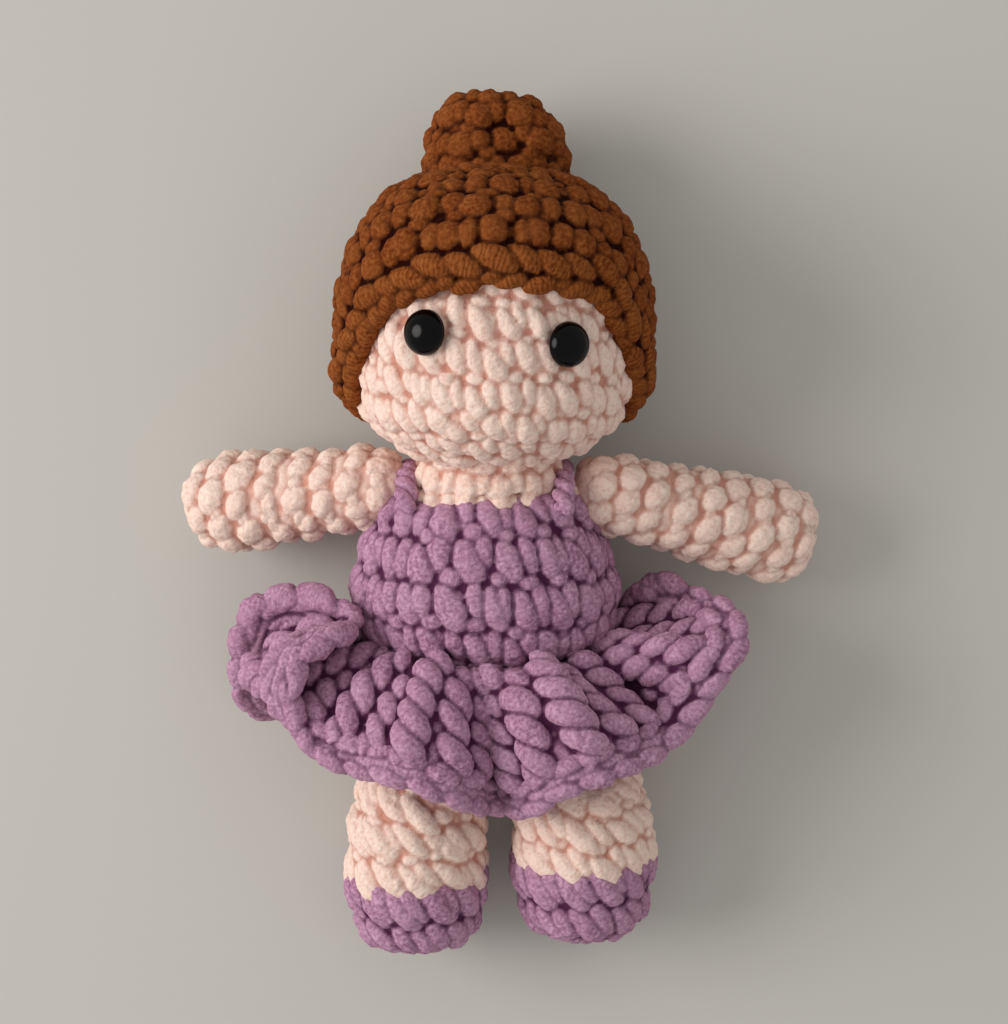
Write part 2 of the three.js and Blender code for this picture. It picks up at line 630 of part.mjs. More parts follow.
// A point on the ruffle's middle surface: share runs round the waist, out from the waist to the hem
function rufflePoint(share, out) {
  const start = waistPoint(share);
  const end = hemCurve.getPoint(share);
  const centre = new THREE.Vector3(BODY_LEAN, start.y, BODY_AXIS_HEIGHT);
  const away = start.clone().sub(centre).normalize();
  const knee = start.clone().addScaledVector(away, start.distanceTo(end) * RUFFLE_FLARE);
  knee.y = start.y + (end.y - start.y) * RUFFLE_DROP;
  knee.z = Math.max(knee.z, SKIRT_FABRIC / 2);
  const curve = new THREE.QuadraticBezierCurve3(start, knee, end);
  const edge = 1 - (HEM_YARN_RADIUS + SEAM_GAP) / curve.getLength();
  return curve.getPoint(out * edge);
}
// Small steps round and out that give the surface's direction
const ROUND_STEP = 0.002;
const OUT_STEP = 0.02;
function ruffleGrid(offset) {
  const rows = [];
  for (let j = 0; j <= RUFFLE_STEPS; j += 1) {
    const row = [];
    for (let i = 0; i < HEM_STEPS; i += 1) {
      const share = i / HEM_STEPS;
      const out = j / RUFFLE_STEPS;
      const here = rufflePoint(share, out);
      const round = rufflePoint(share + ROUND_STEP, out).sub(rufflePoint(share - ROUND_STEP, out));
      const along = rufflePoint(share, Math.min(out + OUT_STEP, 1))
        .sub(rufflePoint(share, Math.max(out - OUT_STEP, 0)));
      const normal = along.cross(round).normalize();
      row.push(here.addScaledVector(normal, offset));
    }
    rows.push(row);
  }
  return rows;
}
function ruffleGeometry(thickness) {
  const top = ruffleGrid(thickness / 2);
  const bottom = ruffleGrid(-thickness / 2);
  const ring = [...top, ...bottom.reverse()];
  const positions = ring.flatMap((row) => row.flatMap((point) => [point.x, point.y, point.z]));
  const index = [];
  const rows = ring.length;
  for (let j = 0; j < rows; j += 1) {
    for (let i = 0; i < HEM_STEPS; i += 1) {
      const a = j * HEM_STEPS + i;
      const b = j * HEM_STEPS + (i + 1) % HEM_STEPS;
      const c = ((j + 1) % rows) * HEM_STEPS + (i + 1) % HEM_STEPS;
      const d = ((j + 1) % rows) * HEM_STEPS + i;
      index.push(a, c, b, a, d, c);
    }
  }
  const geometry = new THREE.BufferGeometry();
  geometry.setAttribute('position', new THREE.Float32BufferAttribute(positions, 3));
  geometry.setIndex(index);
  return geometry;
}
// A closed tube that follows the hem
function hemTube(radius, sides) {
  const positions = [];
  for (let i = 0; i < HEM_STEPS; i += 1) {
    const share = i / HEM_STEPS;
    const here = hemCurve.getPoint(share);
    const out = here.clone().sub(rufflePoint(share, 1 - OUT_STEP)).normalize();
    const round = hemCurve.getTangent(share);
    const up = out.clone().cross(round).normalize();
    for (let k = 0; k < sides; k += 1) {
      const angle = k / sides * 2 * Math.PI;
      const point = here.clone()
        .addScaledVector(out, radius * Math.cos(angle))
        .addScaledVector(up, radius * Math.sin(angle));
      positions.push(point.x, point.y, point.z);
    }
  }
  const index = [];
  for (let i = 0; i < HEM_STEPS; i += 1) {
    for (let k = 0; k < sides; k += 1) {
      const a = i * sides + k;
      const b = i * sides + (k + 1) % sides;
      const c = ((i + 1) % HEM_STEPS) * sides + (k + 1) % sides;
      const d = ((i + 1) % HEM_STEPS) * sides + k;
      index.push(a, c, b, a, d, c);
    }
  }
  const geometry = new THREE.BufferGeometry();
  geometry.setAttribute('position', new THREE.Float32BufferAttribute(positions, 3));
  geometry.setIndex(index);
  return geometry;
}
const ruffle = solid(ruffleGeometry(SKIRT_FABRIC));
doll.add(
  piece('skirt', ruffle.subtract(inFrame(bodyGrown, bodyFrame)).subtract(underTable), purple),
  piece('skirt_hem', solid(hemTube(HEM_YARN_RADIUS, HEM_SIDES)).subtract(underTable), purple),
);

export default doll;
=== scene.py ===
import json
import math

import bpy
import numpy as np
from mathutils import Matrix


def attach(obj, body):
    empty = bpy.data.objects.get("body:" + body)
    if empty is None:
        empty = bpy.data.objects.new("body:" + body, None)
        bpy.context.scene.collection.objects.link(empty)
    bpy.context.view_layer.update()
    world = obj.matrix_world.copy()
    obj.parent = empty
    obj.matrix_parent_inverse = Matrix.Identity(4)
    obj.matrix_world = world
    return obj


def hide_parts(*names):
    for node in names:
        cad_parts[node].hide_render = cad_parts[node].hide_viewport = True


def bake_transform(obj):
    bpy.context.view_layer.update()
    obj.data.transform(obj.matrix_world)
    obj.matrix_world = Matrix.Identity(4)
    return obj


bl_info = {
    "name": "Crochet ballerina doll",
    "version": (1, 0, 0),
    "blender": (4, 5, 0),
    "location": "3D View > Sidebar > Doll",
    "description": "Builds a crocheted ballerina doll, stitch by stitch",
    "category": "Add Mesh",
}

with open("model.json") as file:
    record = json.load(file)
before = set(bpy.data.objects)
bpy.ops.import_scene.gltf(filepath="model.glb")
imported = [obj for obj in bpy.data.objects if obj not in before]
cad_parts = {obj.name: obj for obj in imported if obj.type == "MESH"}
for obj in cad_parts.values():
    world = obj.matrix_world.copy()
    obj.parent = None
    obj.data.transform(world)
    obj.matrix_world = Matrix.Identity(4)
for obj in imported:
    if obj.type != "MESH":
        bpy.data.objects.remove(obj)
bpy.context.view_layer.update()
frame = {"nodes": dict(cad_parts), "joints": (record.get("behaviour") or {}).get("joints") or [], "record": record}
MM = 0.001
JOINTS = {joint["name"]: joint for joint in frame["joints"]}

# Sizes that the construction shares with the solids, in millimetres
BODY_DEPTH = 0.8
NECK_CENTRE_HEIGHT = 40.5
HEAD_OFFSET = 1.2
BACK_HOLLOW = 5.5
BACK_HOLLOW_HEIGHT = -18
BACK_HOLLOW_SPAN = 11.5
NECKLINE_HEIGHT = 33.5
HEAD_DEPTH = 0.97
HEAD_CENTRE_HEIGHT = 75
HEAD_HALF_HEIGHT = 41
HEAD_RADIUS = 38
CAP_THICKNESS = 6.6
HAIRLINE_TILT = math.radians(46.4)
HAIRLINE_POINT = (0, 91.5, 34.5)
NAPE_HEIGHT = 50
BUN_LEAN = math.radians(33)
BUN_RADIUS = 21
BUN_HALF_HEIGHT = 18.5
BUN_SINK = 8
HIPS_RADIUS = 31.7
CHEST_RADIUS = 28.3
SKIRT_WAIST_HEIGHT = -10
SKIRT_WAIST_RADIUS = 30.7
RUFFLE_FLARE = 0.42
RUFFLE_DROP = 0.3
RUFFLE_LOWEST = 3.5

# Outlines: radius against height along the piece's own axis
BODY_OUTLINE = [
    (0, -33), (20.5, -29.8), (28.5, -22), (HIPS_RADIUS, -11), (36.5, 3), (33, 20), (CHEST_RADIUS, 31),
    (20.5, 37.2), (0, 38.2),
]
HEAD_OUTLINE = [
    (0, 42.6), (20.8, 43.8), (30.2, 49.2), (36.2, 55.6), (38, 71), (34.2, 94), (22, 110), (0, 116),
]
BUN_FULLNESS = 0.76
BUN_OUTLINE = [
    (0, -BUN_HALF_HEIGHT), (BUN_RADIUS * BUN_FULLNESS, -BUN_HALF_HEIGHT * BUN_FULLNESS), (BUN_RADIUS, 0),
    (BUN_RADIUS * BUN_FULLNESS, BUN_HALF_HEIGHT * BUN_FULLNESS), (0, BUN_HALF_HEIGHT),
]
# Round ends pass through this share of their radius, at that share of their length
ROUNDING = 0.75
ROUNDING_LENGTH = math.sqrt(1 - ROUNDING ** 2)
# Radii of the limbs at the shoulder, the hand and the hip
SHOULDER_BALL = 8.6
HAND_RADIUS = 14.6
HIP_BALL = 14
ARMS = {
    "left": {"side": -1, "length": 56.5, "slope": 5.4, "droop": 20.5},
    "right": {"side": 1, "length": 63, "slope": 13, "droop": 18.5},
}
LEGS = {
    "left": {"length": 57, "shoe": 21},
    "right": {"length": 53.6, "shoe": 24},
}
LEG_DROOP = 13.5


def linear(code):
    """A colour written as in a picture, in the linear values that shaders take."""
    parts = [int(code[i:i + 2], 16) / 255 for i in (1, 3, 5)]
    return tuple(c / 12.92 if c <= 0.04045 else ((c + 0.055) / 1.055) ** 2.4 for c in parts)


def colour_setting(name, description, code):
    return bpy.props.FloatVectorProperty(
        name=name, description=description, subtype="COLOR", size=3, min=0, max=1, default=linear(code))


def length_setting(name, description, default, **limits):
    return bpy.props.FloatProperty(
        name=name, description=description, unit="LENGTH", default=default, **limits)


class YarnSettings(bpy.types.PropertyGroup):
    skin: colour_setting("Skin yarn", "Colour of head, arms and legs", "#F4D0C2")
    purple: colour_setting("Dress yarn", "Colour of bodice, skirt and shoes", "#9F6D8C")
    brown: colour_setting("Hair yarn", "Colour of cap and bun", "#6D300E")
    detail: length_setting(
        "Surface detail", "Edge length of the finished fabric's facets", 0.00072, min=0.0004, max=0.003)
    pile: length_setting("Pile height", "How far the pile's tufts stand out", 0.00026, min=0, max=0.001)


class StitchSettings(bpy.types.PropertyGroup):
    face_width: length_setting("Face stitch width", "Width of a stitch on the head", 0.0089)
    face_height: length_setting("Face round height", "Height of a round on the head", 0.0095)
    bodice_width: length_setting("Bodice stitch width", "Width of a stitch on the bodice", 0.0106)
    bodice_height: length_setting("Bodice round height", "Height of a round on the bodice", 0.0124)
    hair_width: length_setting("Hair stitch width", "Width of a stitch on the cap", 0.0122)
    hair_height: length_setting("Hair round height", "Height of a round on the cap", 0.0085)
    limb_width: length_setting("Limb stitch width", "Width of a stitch on arms and legs", 0.0112)
    limb_height: length_setting("Limb round height", "Height of a round on arms and legs", 0.011)
    post_spacing: length_setting("Skirt post spacing", "Distance between two posts of the skirt", 0.0108)
    post_thickness: length_setting("Skirt post thickness", "Thickness of one twisted post", 0.0106)
    hem_thickness: length_setting("Hem thickness", "Thickness of the hem's braid", 0.0098)


class EyeSettings(bpy.types.PropertyGroup):
    radius: length_setting("Eye radius", "Radius of a safety eye's rim", 0.006)
    dome: length_setting("Eye dome", "Height of the eye's dome", 0.0042)
    colour: colour_setting("Eye colour", "Colour of the eyes", "#020203")


class StageSettings(bpy.types.PropertyGroup):
    floor: colour_setting("Floor colour", "Colour of the plain floor", "#C9C7C1")
    key_strength: bpy.props.FloatProperty(
        name="Key light", description="Power of the large soft light", unit="POWER", default=3.12)
    fill_strength: bpy.props.FloatProperty(
        name="Fill light", description="Brightness of the surroundings", default=0.53)
    camera_height: length_setting("Camera height", "Height of the camera above the floor", 0.68)
    focal_pixels: bpy.props.FloatProperty(
        name="Focal length", description="Focal length in picture pixels", default=2355)


def catmull(points, at, closed=False):
    """Points on the smooth curve through the given ones; at counts them from 0."""
    points = np.asarray(points, float)
    count = len(points)
    at = np.asarray(at, float)
    if closed:
        low = np.floor(at).astype(int)
        pick = [points[(low + k) % count] for k in (-1, 0, 1, 2)]
    else:
        at = np.clip(at, 0, count - 1)
        low = np.minimum(at.astype(int), count - 2)
        pick = [points[np.clip(low + k, 0, count - 1)] for k in (-1, 0, 1, 2)]
    t = (at - low)[..., None]
    before, here, there, after = pick
    leave = (there - before) / 2
    arrive = (after - here) / 2
    return (
        (2 * here - 2 * there + leave + arrive) * t ** 3
        + (3 * there - 3 * here - 2 * leave - arrive) * t ** 2 + leave * t + here
    )


def unit(vectors):
    return vectors / np.maximum(np.linalg.norm(vectors, axis=-1, keepdims=True), 1e-9)


def distances(path):
    """How far along a path each of its points lies."""
    return np.concatenate([[0], np.cumsum(np.linalg.norm(np.diff(path, axis=0), axis=1))])


def turn_x(angle):
    c, s = math.cos(angle), math.sin(angle)
    return np.array([(1, 0, 0), (0, c, -s), (0, s, c)])


def turn_to(direction):
    """The shortest rotation that turns +Y into a direction."""
    y = np.array([0.0, 1.0, 0.0])
    d = np.asarray(direction, float)
    axis = np.cross(y, d)
    c = float(y @ d)
    k = np.array([(0, -axis[2], axis[1]), (axis[2], 0, -axis[0]), (-axis[1], axis[0], 0)])
    return np.eye(3) + k + k @ k / (1 + c)


class Placed:
    """Where a piece's own frame stands in the doll's frame."""

    def __init__(self, turn, shift):
        self.turn = np.asarray(turn, float)
        self.shift = np.asarray(shift, float)

    def out(self, local):
        return local @ self.turn.T + self.shift

    def then(self, turn, shift):
        return Placed(self.turn @ turn, self.out(np.asarray(shift, float)))


# Points on a smoothed outline, and the small steps over which a surface's direction is measured
OUTLINE_POINTS = 400
STEP_ROUND = 0.02
STEP_UP = 0.4


class Turned:
    """A fabric surface turned about its own +Y: u is the turn from the front, v the way up its outline."""

    def __init__(self, placed, outline, depth=1.0, shape=None):
        line = catmull(outline, np.linspace(0, len(outline) - 1, OUTLINE_POINTS))
        line[:, 0] = np.maximum(line[:, 0], 0)
        line[0, 0] = line[-1, 0] = 0
        self.radius, self.height = line.T
        self.v = np.concatenate([[0], np.cumsum(np.hypot(np.diff(self.radius), np.diff(self.height)))])
        self.length = self.v[-1]
        self.placed = placed
        self.middle = placed.out(np.array([0, (outline[0][1] + outline[-1][1]) / 2, 0]))
        self.depth = depth
        self.shape = shape

    def radius_at(self, v):
        return np.interp(v, self.v, self.radius)

    def v_at_height(self, height):
        return float(np.interp(height, self.height, self.v))

    def place(self, u, v):
        radius = np.interp(v, self.v, self.radius)
        local = np.stack([
            radius * np.sin(u), np.interp(v, self.v, self.height), radius * np.cos(u) * self.depth,
        ], -1)
        if self.shape:
            local = self.shape(local)
        return self.placed.out(local)


def on(surface, u, v, out):
    """Points off a surface by out, with the surface's outward direction there."""
    place = surface.place(u, v)
    round_way = surface.place(u + STEP_ROUND, v) - surface.place(u - STEP_ROUND, v)
    up_way = surface.place(u, v + STEP_UP) - surface.place(u, v - STEP_UP)
    normal = unit(np.cross(round_way, up_way))
    outward = ((place - surface.middle) * normal).sum(-1, keepdims=True)
    normal = normal * np.where(outward < 0, -1.0, 1.0)
    return place + normal * out[..., None], normal


def band(first, sides):
    """Triangles between neighbouring rings of points; first holds each lower ring's first point."""
    k = np.arange(sides)
    a, b = first + k, first + (k + 1) % sides
    c, d = b + sides, a + sides
    return [np.stack(corners, -1).reshape(-1, 3) for corners in ([a, b, c], [a, c, d])]


class Strands:
    """The yarn of one piece before it is fused: closed strands over closed cores."""

    def __init__(self, seed):
        self.rng = np.random.default_rng(seed)
        self.points, self.faces, self.marks = [], [], []
        self.count = 0

    def add(self, points, faces, marks):
        self.points.append(points)
        self.faces.append(faces + self.count)
        self.marks.append(marks)
        self.count += len(points)

    def fill(self, points, faces):
        self.add(points, faces, np.zeros((len(points), 3)))

    def lay(self, centres, across, deep, normals, sides=10, ridged=1.0):
        """Closed strands: centres (strand, ring, 3) with half widths across and into the fabric."""
        strands, rings, _ = centres.shape
        along = unit(np.gradient(centres, axis=1))
        side = unit(np.cross(along, normals))
        up = np.cross(side, along)
        angle = np.linspace(0, 2 * math.pi, sides, endpoint=False)
        ring = (
            centres[:, :, None]
            + (across[..., None] * np.cos(angle))[..., None] * side[:, :, None]
            + (deep[..., None] * np.sin(angle))[..., None] * up[:, :, None]
        )
        points = np.concatenate([ring.reshape(-1, 3), centres[:, 0], centres[:, -1]])
        steps = np.linalg.norm(np.diff(centres, axis=1), axis=-1)
        travelled = np.concatenate([np.zeros((strands, 1)), np.cumsum(steps, axis=1)], axis=1)
        tone = np.repeat(self.rng.uniform(0.0, 1.0, (strands, 1)), rings, axis=1)
        mark = np.stack([travelled, tone, np.full_like(tone, ridged)], -1)
        marks = np.concatenate([np.repeat(mark.reshape(-1, 3), sides, axis=0), mark[:, 0], mark[:, -1]])
        k = np.arange(sides)
        following = (k + 1) % sides
        first = (np.arange(strands)[:, None] * rings + np.arange(rings - 1)).reshape(-1, 1) * sides
        faces = band(first, sides)
        base = strands * rings * sides
        start = (np.arange(strands) * rings * sides)[:, None]
        end = start + (rings - 1) * sides
        low = (base + np.arange(strands))[:, None] + 0 * k
        high = low + strands
        faces.append(np.stack([start + following, start + k, low], -1).reshape(-1, 3))
        faces.append(np.stack([end + k, end + following, high], -1).reshape(-1, 3))
        self.add(points, np.concatenate(faces), marks)


# A single crochet stitch: a fat and a slim leg that meet at the top, and the loop between stitches.
# Points are (share of the width, share of the height, depth in yarn radii).
FAT_LEG = [(0.44, -0.28, -0.85), (0.35, 0.18, -0.04), (0.19, 0.60, 0.00), (0.02, 1.10, -0.66)]
SLIM_LEG = [(-0.14, -0.06, -0.85), (-0.24, 0.32, -0.18), (-0.27, 0.72, -0.10), (-0.16, 1.24, -0.80)]
LOOP = [(0.08, 0.90, -0.75), (0.44, 1.04, -0.22), (0.80, 0.92, -0.75)]
STITCH = [(FAT_LEG, 0.40), (SLIM_LEG, 0.34), (LOOP, 0.30)]
BETWEEN = [(0.66, -0.05, -0.9), (0.62, 0.30, -0.34), (0.52, 0.72, -0.34), (0.46, 1.00, -0.9)]
BODICE_STITCH = [(FAT_LEG, 0.41), (SLIM_LEG, 0.35), (LOOP, 0.35), (BETWEEN, 0.30)]
LEG_STITCH = [(FAT_LEG, 0.33), (SLIM_LEG, 0.30), (LOOP, 0.24)]
SHOE_STITCH = [(FAT_LEG, 0.35), (SLIM_LEG, 0.33)]
# An arm's stitches lie nearly along their round, so that each round reads as one bulging band
ARM_FAT = [(-0.44, 0.22, -0.5), (0.05, 0.38, 0.0), (0.50, 0.60, 0.0), (1.00, 0.80, -0.5)]
ARM_STITCH = [(ARM_FAT, 0.42)]
RINGS = 10
SAMPLES = (1 - np.cos(np.linspace(0, math.pi, RINGS))) / 2
# How much hand-made stitches differ: in size, in slant (share of the width) and in height above the fabric
SIZE_SPREAD = 0.07
SLANT_SPREAD = 0.09
LIFT_SPREAD = 0.25
# A strand's ends against its middle, the most that it's deep and sunk against the yarn's radius, and how far
# each round is shifted against the one before, in stitches
STRAND_END = 0.2
STRAND_DEPTH = 1.15
STRAND_SINK = 1.1
ROUND_SHIFT = 0.42


def plump(samples):
    """The strand's thickness along its length: round ends and a full middle."""
    return np.maximum((1 - np.abs(2 * samples - 1) ** 2.1) ** 0.5, STRAND_END)


def rounds(strands, surface, rows, yarn=2.7, wobble=0.4, lean=0.0, mirror=1, stitch=STITCH, fat=1.0,
           sink=None, loose=0.05, slope=0.0):
    """Stitches in rounds; rows is a list of (v at the bottom, v at the top, stitches, phase)."""
    rng = strands.rng
    for low, high, count, phase in rows:
        jitter = rng.normal(0, loose, (count, 2))
        size = 1 + rng.normal(0, SIZE_SPREAD, count)
        skew = rng.normal(0, SLANT_SPREAD, count) + lean
        rise = rng.normal(0, LIFT_SPREAD, count)
        wave = rng.uniform(0, 2 * math.pi, 2)
        girth = 2 * math.pi * surface.radius_at(min(max((low + high) / 2, 0), surface.length))
        for points, width in stitch:
            path = catmull(points, SAMPLES * (len(points) - 1))
            shift = jitter + rng.normal(0, loose * 0.8, (count, 2))
            a = mirror * (path[:, 0] * size[:, None] + skew[:, None] * (0.5 - path[:, 1])) + shift[:, :1]
            u = (np.arange(count)[:, None] + phase + a) * 2 * math.pi / count
            drift = wobble * (np.sin(2 * u + wave[0]) + 0.6 * np.sin(5 * u + wave[1])) + slope * np.sin(u)
            v = low + (high - low) * (path[:, 1] + shift[:, 1:]) + drift
            thick = width * fat * girth / count
            half = thick * size[:, None] * plump(SAMPLES)
            deep = np.minimum(half, yarn * STRAND_DEPTH * plump(SAMPLES))
            out = path[:, 2] * yarn - min(thick, yarn * STRAND_SINK) + rise[:, None]
            if sink:
                out = out - sink(v)
            centre, normal = on(surface, u, v, out + 0 * u)
            strands.lay(centre, half, deep, normal)


def ridges(strands, surface, rows, share, depth, sink=None):
    """One bulging ring under each round; share is its thickness against the round's height."""
    u = np.linspace(0, 2 * math.pi + 0.2, 60)
    for low, high, _, _ in rows:
        half = np.full(u.shape, abs(high - low) * share / 2)
        out = -half - depth
        v = np.full(u.shape, (low + high) / 2)
        if sink:
            out = out - sink(v)
        centre, normal = on(surface, u, v, out)
        strands.lay(centre[None], half[None], half[None], normal[None])


def even_rows(surface, low, high, width, height, rng, phase=0.0, least=6):
    """Rows of even height between two places on a surface, with as many stitches as its girth takes."""
    count = max(1, round(abs(high - low) / height))
    edges = np.linspace(low, high, count + 1)
    rows = []
    for start, stop in zip(edges[:-1], edges[1:]):
        girth = 2 * math.pi * surface.radius_at((start + stop) / 2)
        rows.append((start, stop, max(least, round(girth / width)), phase))
        phase += ROUND_SHIFT + rng.uniform(-0.06, 0.06)
    return rows


def core(strands, surface, low, high, inset, up=28):
    """A closed body just under the stitches, between two places on a surface."""
    u = np.linspace(0, 2 * math.pi, CORE_SIDES, endpoint=False)
    v = np.linspace(low, high, up)
    uu, vv = np.meshgrid(u, v)
    grid, _ = on(surface, uu, vv, np.full(uu.shape, -inset))
    strands.fill(*skin_of(grid))


def skin_of(grid):
    """A closed surface from rings of points, the first and last ring filled."""
    rings, sides, _ = grid.shape
    points = np.concatenate([grid.reshape(-1, 3), grid[:1].mean(1), grid[-1:].mean(1)])
    k = np.arange(sides)
    following = (k + 1) % sides
    base = rings * sides
    end = (rings - 1) * sides
    faces = band(np.arange(rings - 1)[:, None] * sides, sides) + [
        np.stack([following, k, 0 * k + base], -1),
        np.stack([end + k, end + following, 0 * k + base + 1], -1),
    ]
    return points, np.concatenate(faces)


def mesh_from(name, points, faces):
    mesh = bpy.data.meshes.new(name)
    mesh.vertices.add(len(points))
    mesh.vertices.foreach_set("co", points.astype(np.float32).ravel())
    mesh.loops.add(faces.size)
    mesh.loops.foreach_set("vertex_index", faces.astype(np.int32).ravel())
    mesh.polygons.add(len(faces))
    mesh.polygons.foreach_set("loop_start", np.arange(0, faces.size, faces.shape[1], dtype=np.int32))
    mesh.update(calc_edges=True)
    return mesh


def linked(name, mesh):
    piece = bpy.data.objects.new(name, mesh)
    bpy.context.scene.collection.objects.link(piece)
    return piece


def read(items, key, kind, width):
    """An attribute of many items at once, in rows of a given width."""
    values = np.empty(len(items) * width, kind)
    items.foreach_get(key, values)
    return values.reshape(-1, width)


# Large odd factors that scatter neighbouring cells, and masks that keep 32 and 16 bits
CELL_FACTORS = (73856093, 19349663, 83492791)
FIRST_FACTOR = 2654435761
FIRST_STEP = 1013904223
SECOND_FACTOR = 2246822519
LONG_MASK = 0xFFFFFFFF
SHORT_MASK = 0xFFFF


def lattice(cells):
    """A repeatable random value for each cell of a grid."""
    x, y, z = (cells[..., k].astype(np.int64) * CELL_FACTORS[k] for k in range(3))
    mixed = ((x ^ y ^ z) * FIRST_FACTOR + FIRST_STEP) & LONG_MASK
    mixed = ((mixed ^ (mixed >> 15)) * SECOND_FACTOR) & LONG_MASK
    return ((mixed ^ (mixed >> 13)) & SHORT_MASK) / SHORT_MASK


def clumps(points, size):
    """Smooth noise from -1 to 1 with features of a given size."""
    scaled = points / size
    low = np.floor(scaled)
    t = scaled - low
    t = t * t * (3 - 2 * t)
    total = np.zeros(len(points))
    for corner in np.ndindex(2, 2, 2):
        weight = np.prod([t[:, k] if corner[k] else 1 - t[:, k] for k in range(3)], axis=0)
        total += weight * lattice(low + np.array(corner))
    return total * 2 - 1


def hollowness(points, normals, edges, steps):
    """How far each point lies below its smoothed surroundings."""
    degree = np.maximum(np.bincount(edges.ravel(), minlength=len(points)), 1)
    smooth = points.copy()
    for _ in range(steps):
        moved = np.empty_like(smooth)
        for k in range(3):
            moved[:, k] = (
                np.bincount(edges[:, 0], smooth[edges[:, 1], k], len(points))
                + np.bincount(edges[:, 1], smooth[edges[:, 0], k], len(points))
            )
        smooth = moved / degree[:, None]
    return ((smooth - points) * normals).sum(1)


def seams(mesh, edges):
    """Where one strand of yarn ends and the next begins, from 0 to 1."""
    strand = read(mesh.attributes["yarn"].data, "vector", np.float32, 3)[:, 1]
    border = edges[np.abs(strand[edges[:, 0]] - strand[edges[:, 1]]) > 1e-4]
    count = len(mesh.vertices)
    seam = (np.bincount(border.ravel(), minlength=count) > 0).astype(float)
    degree = np.maximum(np.bincount(edges.ravel(), minlength=count), 1)
    for _ in range(2):
        near = np.bincount(edges[:, 0], seam[edges[:, 1]], count)
        near += np.bincount(edges[:, 1], seam[edges[:, 0]], count)
        seam = (seam + near / degree) / 2
    return seam


def set_inputs(node, inputs):
    for name, value in inputs.items():
        node.inputs[name].default_value = value
    return node


def add_node(nodes, kind, inputs):
    """A new node with some of its inputs set."""
    return set_inputs(nodes.new(kind), inputs)


def mark_carrier():
    """Nodes that give the fused fabric the marks of the strand that lies nearest."""
    group = bpy.data.node_groups.get("Carry yarn marks")
    if group:
        return group
    group = bpy.data.node_groups.new("Carry yarn marks", "GeometryNodeTree")
    socket(group, "Fabric", "INPUT", "NodeSocketGeometry")
    socket(group, "Strands", "INPUT", "NodeSocketObject")
    socket(group, "Fabric", "OUTPUT", "NodeSocketGeometry")
    nodes, links = group.nodes, group.links
    inside = nodes.new("NodeGroupInput")
    outside = nodes.new("NodeGroupOutput")
    source = nodes.new("GeometryNodeObjectInfo")
    marks = add_node(nodes, "GeometryNodeInputNamedAttribute", {"Name": "yarn"})
    nearest = nodes.new("GeometryNodeSampleNearestSurface")
    store = add_node(nodes, "GeometryNodeStoreNamedAttribute", {"Name": "yarn"})
    for node in (marks, nearest, store):
        node.data_type = "FLOAT_VECTOR"
    links.new(inside.outputs["Strands"], source.inputs["Object"])
    links.new(source.outputs["Geometry"], nearest.inputs["Mesh"])
    links.new(marks.outputs["Attribute"], nearest.inputs["Value"])
    links.new(inside.outputs["Fabric"], store.inputs["Geometry"])
    links.new(nearest.outputs["Value"], store.inputs["Value"])
    links.new(store.outputs["Geometry"], outside.inputs["Fabric"])
    return group


# How the fused fabric is finished, in millimetres where it is a length
TABLE_SOFTNESS = 0.8
TUFT_SIZE = 1.9
FINE_TUFT_SIZE = 1.0
FINE_TUFT_SHARE = 0.7
FINE_TUFT_SHIFT = 50
TUFT_LOST_IN_CREASE = 0.6
CREASE_STEPS = 14
# The hollow at which the painted shade in creases is full, how far seams sink, and how much painted shade lies
# along the seams between strands
CREASE_DEPTH = 0.95
SEAM_DEPTH = 0.4
SEAM_SHADE = 0.19


def knit(name, strands, detail=None):
    """One fabric piece: the strands and their core fused, pressed on the table and given its pile."""
    settings = bpy.context.scene.doll_yarn
    detail = (detail or settings.detail) / MM
    mesh = mesh_from(name, np.concatenate(strands.points), np.concatenate(strands.faces))
    loose = linked(name + "_strands", mesh)
    marks = loose.data.attributes.new("yarn", "FLOAT_VECTOR", "POINT")
    marks.data.foreach_set("vector", np.concatenate(strands.marks).astype(np.float32).ravel())
    work = linked(name + "_work", loose.data)
    fuse = work.modifiers.new("Fuse", "REMESH")
    fuse.mode = "VOXEL"
    fuse.voxel_size = detail
    fuse.adaptivity = 0
    carry = work.modifiers.new("Carry", "NODES")
    carry.node_group = mark_carrier()
    for item in carry.node_group.interface.items_tree:
        if item.name == "Strands":
            carry[item.identifier] = loose
    graph = bpy.context.evaluated_depsgraph_get()
    mesh = bpy.data.meshes.new_from_object(
        work.evaluated_get(graph), preserve_all_data_layers=True, depsgraph=graph)
    bpy.data.objects.remove(work)
    bpy.data.objects.remove(loose)
    points = read(mesh.vertices, "co", np.float32, 3).astype(float)
    normals = read(mesh.vertex_normals, "vector", np.float32, 3).astype(float)
    edges = read(mesh.edges, "vertices", np.int32, 2)
    seam = seams(mesh, edges)
    points -= normals * (seam * SEAM_DEPTH)[:, None]
    # Painted shade: this mask darkens hollows and the seams between strands towards the crease colour in the
    # material
    crease = np.clip(hollowness(points, normals, edges, CREASE_STEPS) / CREASE_DEPTH + SEAM_SHADE * seam, 0, 1)
    tuft = clumps(points, TUFT_SIZE) + FINE_TUFT_SHARE * clumps(points + FINE_TUFT_SHIFT, FINE_TUFT_SIZE)
    points += normals * (tuft * settings.pile / MM * (1 - TUFT_LOST_IN_CREASE * crease))[:, None]
    low = points[:, 2] < TABLE_SOFTNESS
    points[low, 2] = TABLE_SOFTNESS * np.exp(points[low, 2] / TABLE_SOFTNESS - 1)
    mesh.vertices.foreach_set("co", (points * MM).astype(np.float32).ravel())
    field = mesh.attributes.new("crease", "FLOAT", "POINT")
    field.data.foreach_set("value", crease.astype(np.float32))
    mesh.polygons.foreach_set("use_smooth", np.ones(len(mesh.polygons), bool))
    mesh.name = name
    mesh.update()
    return linked(name, mesh)


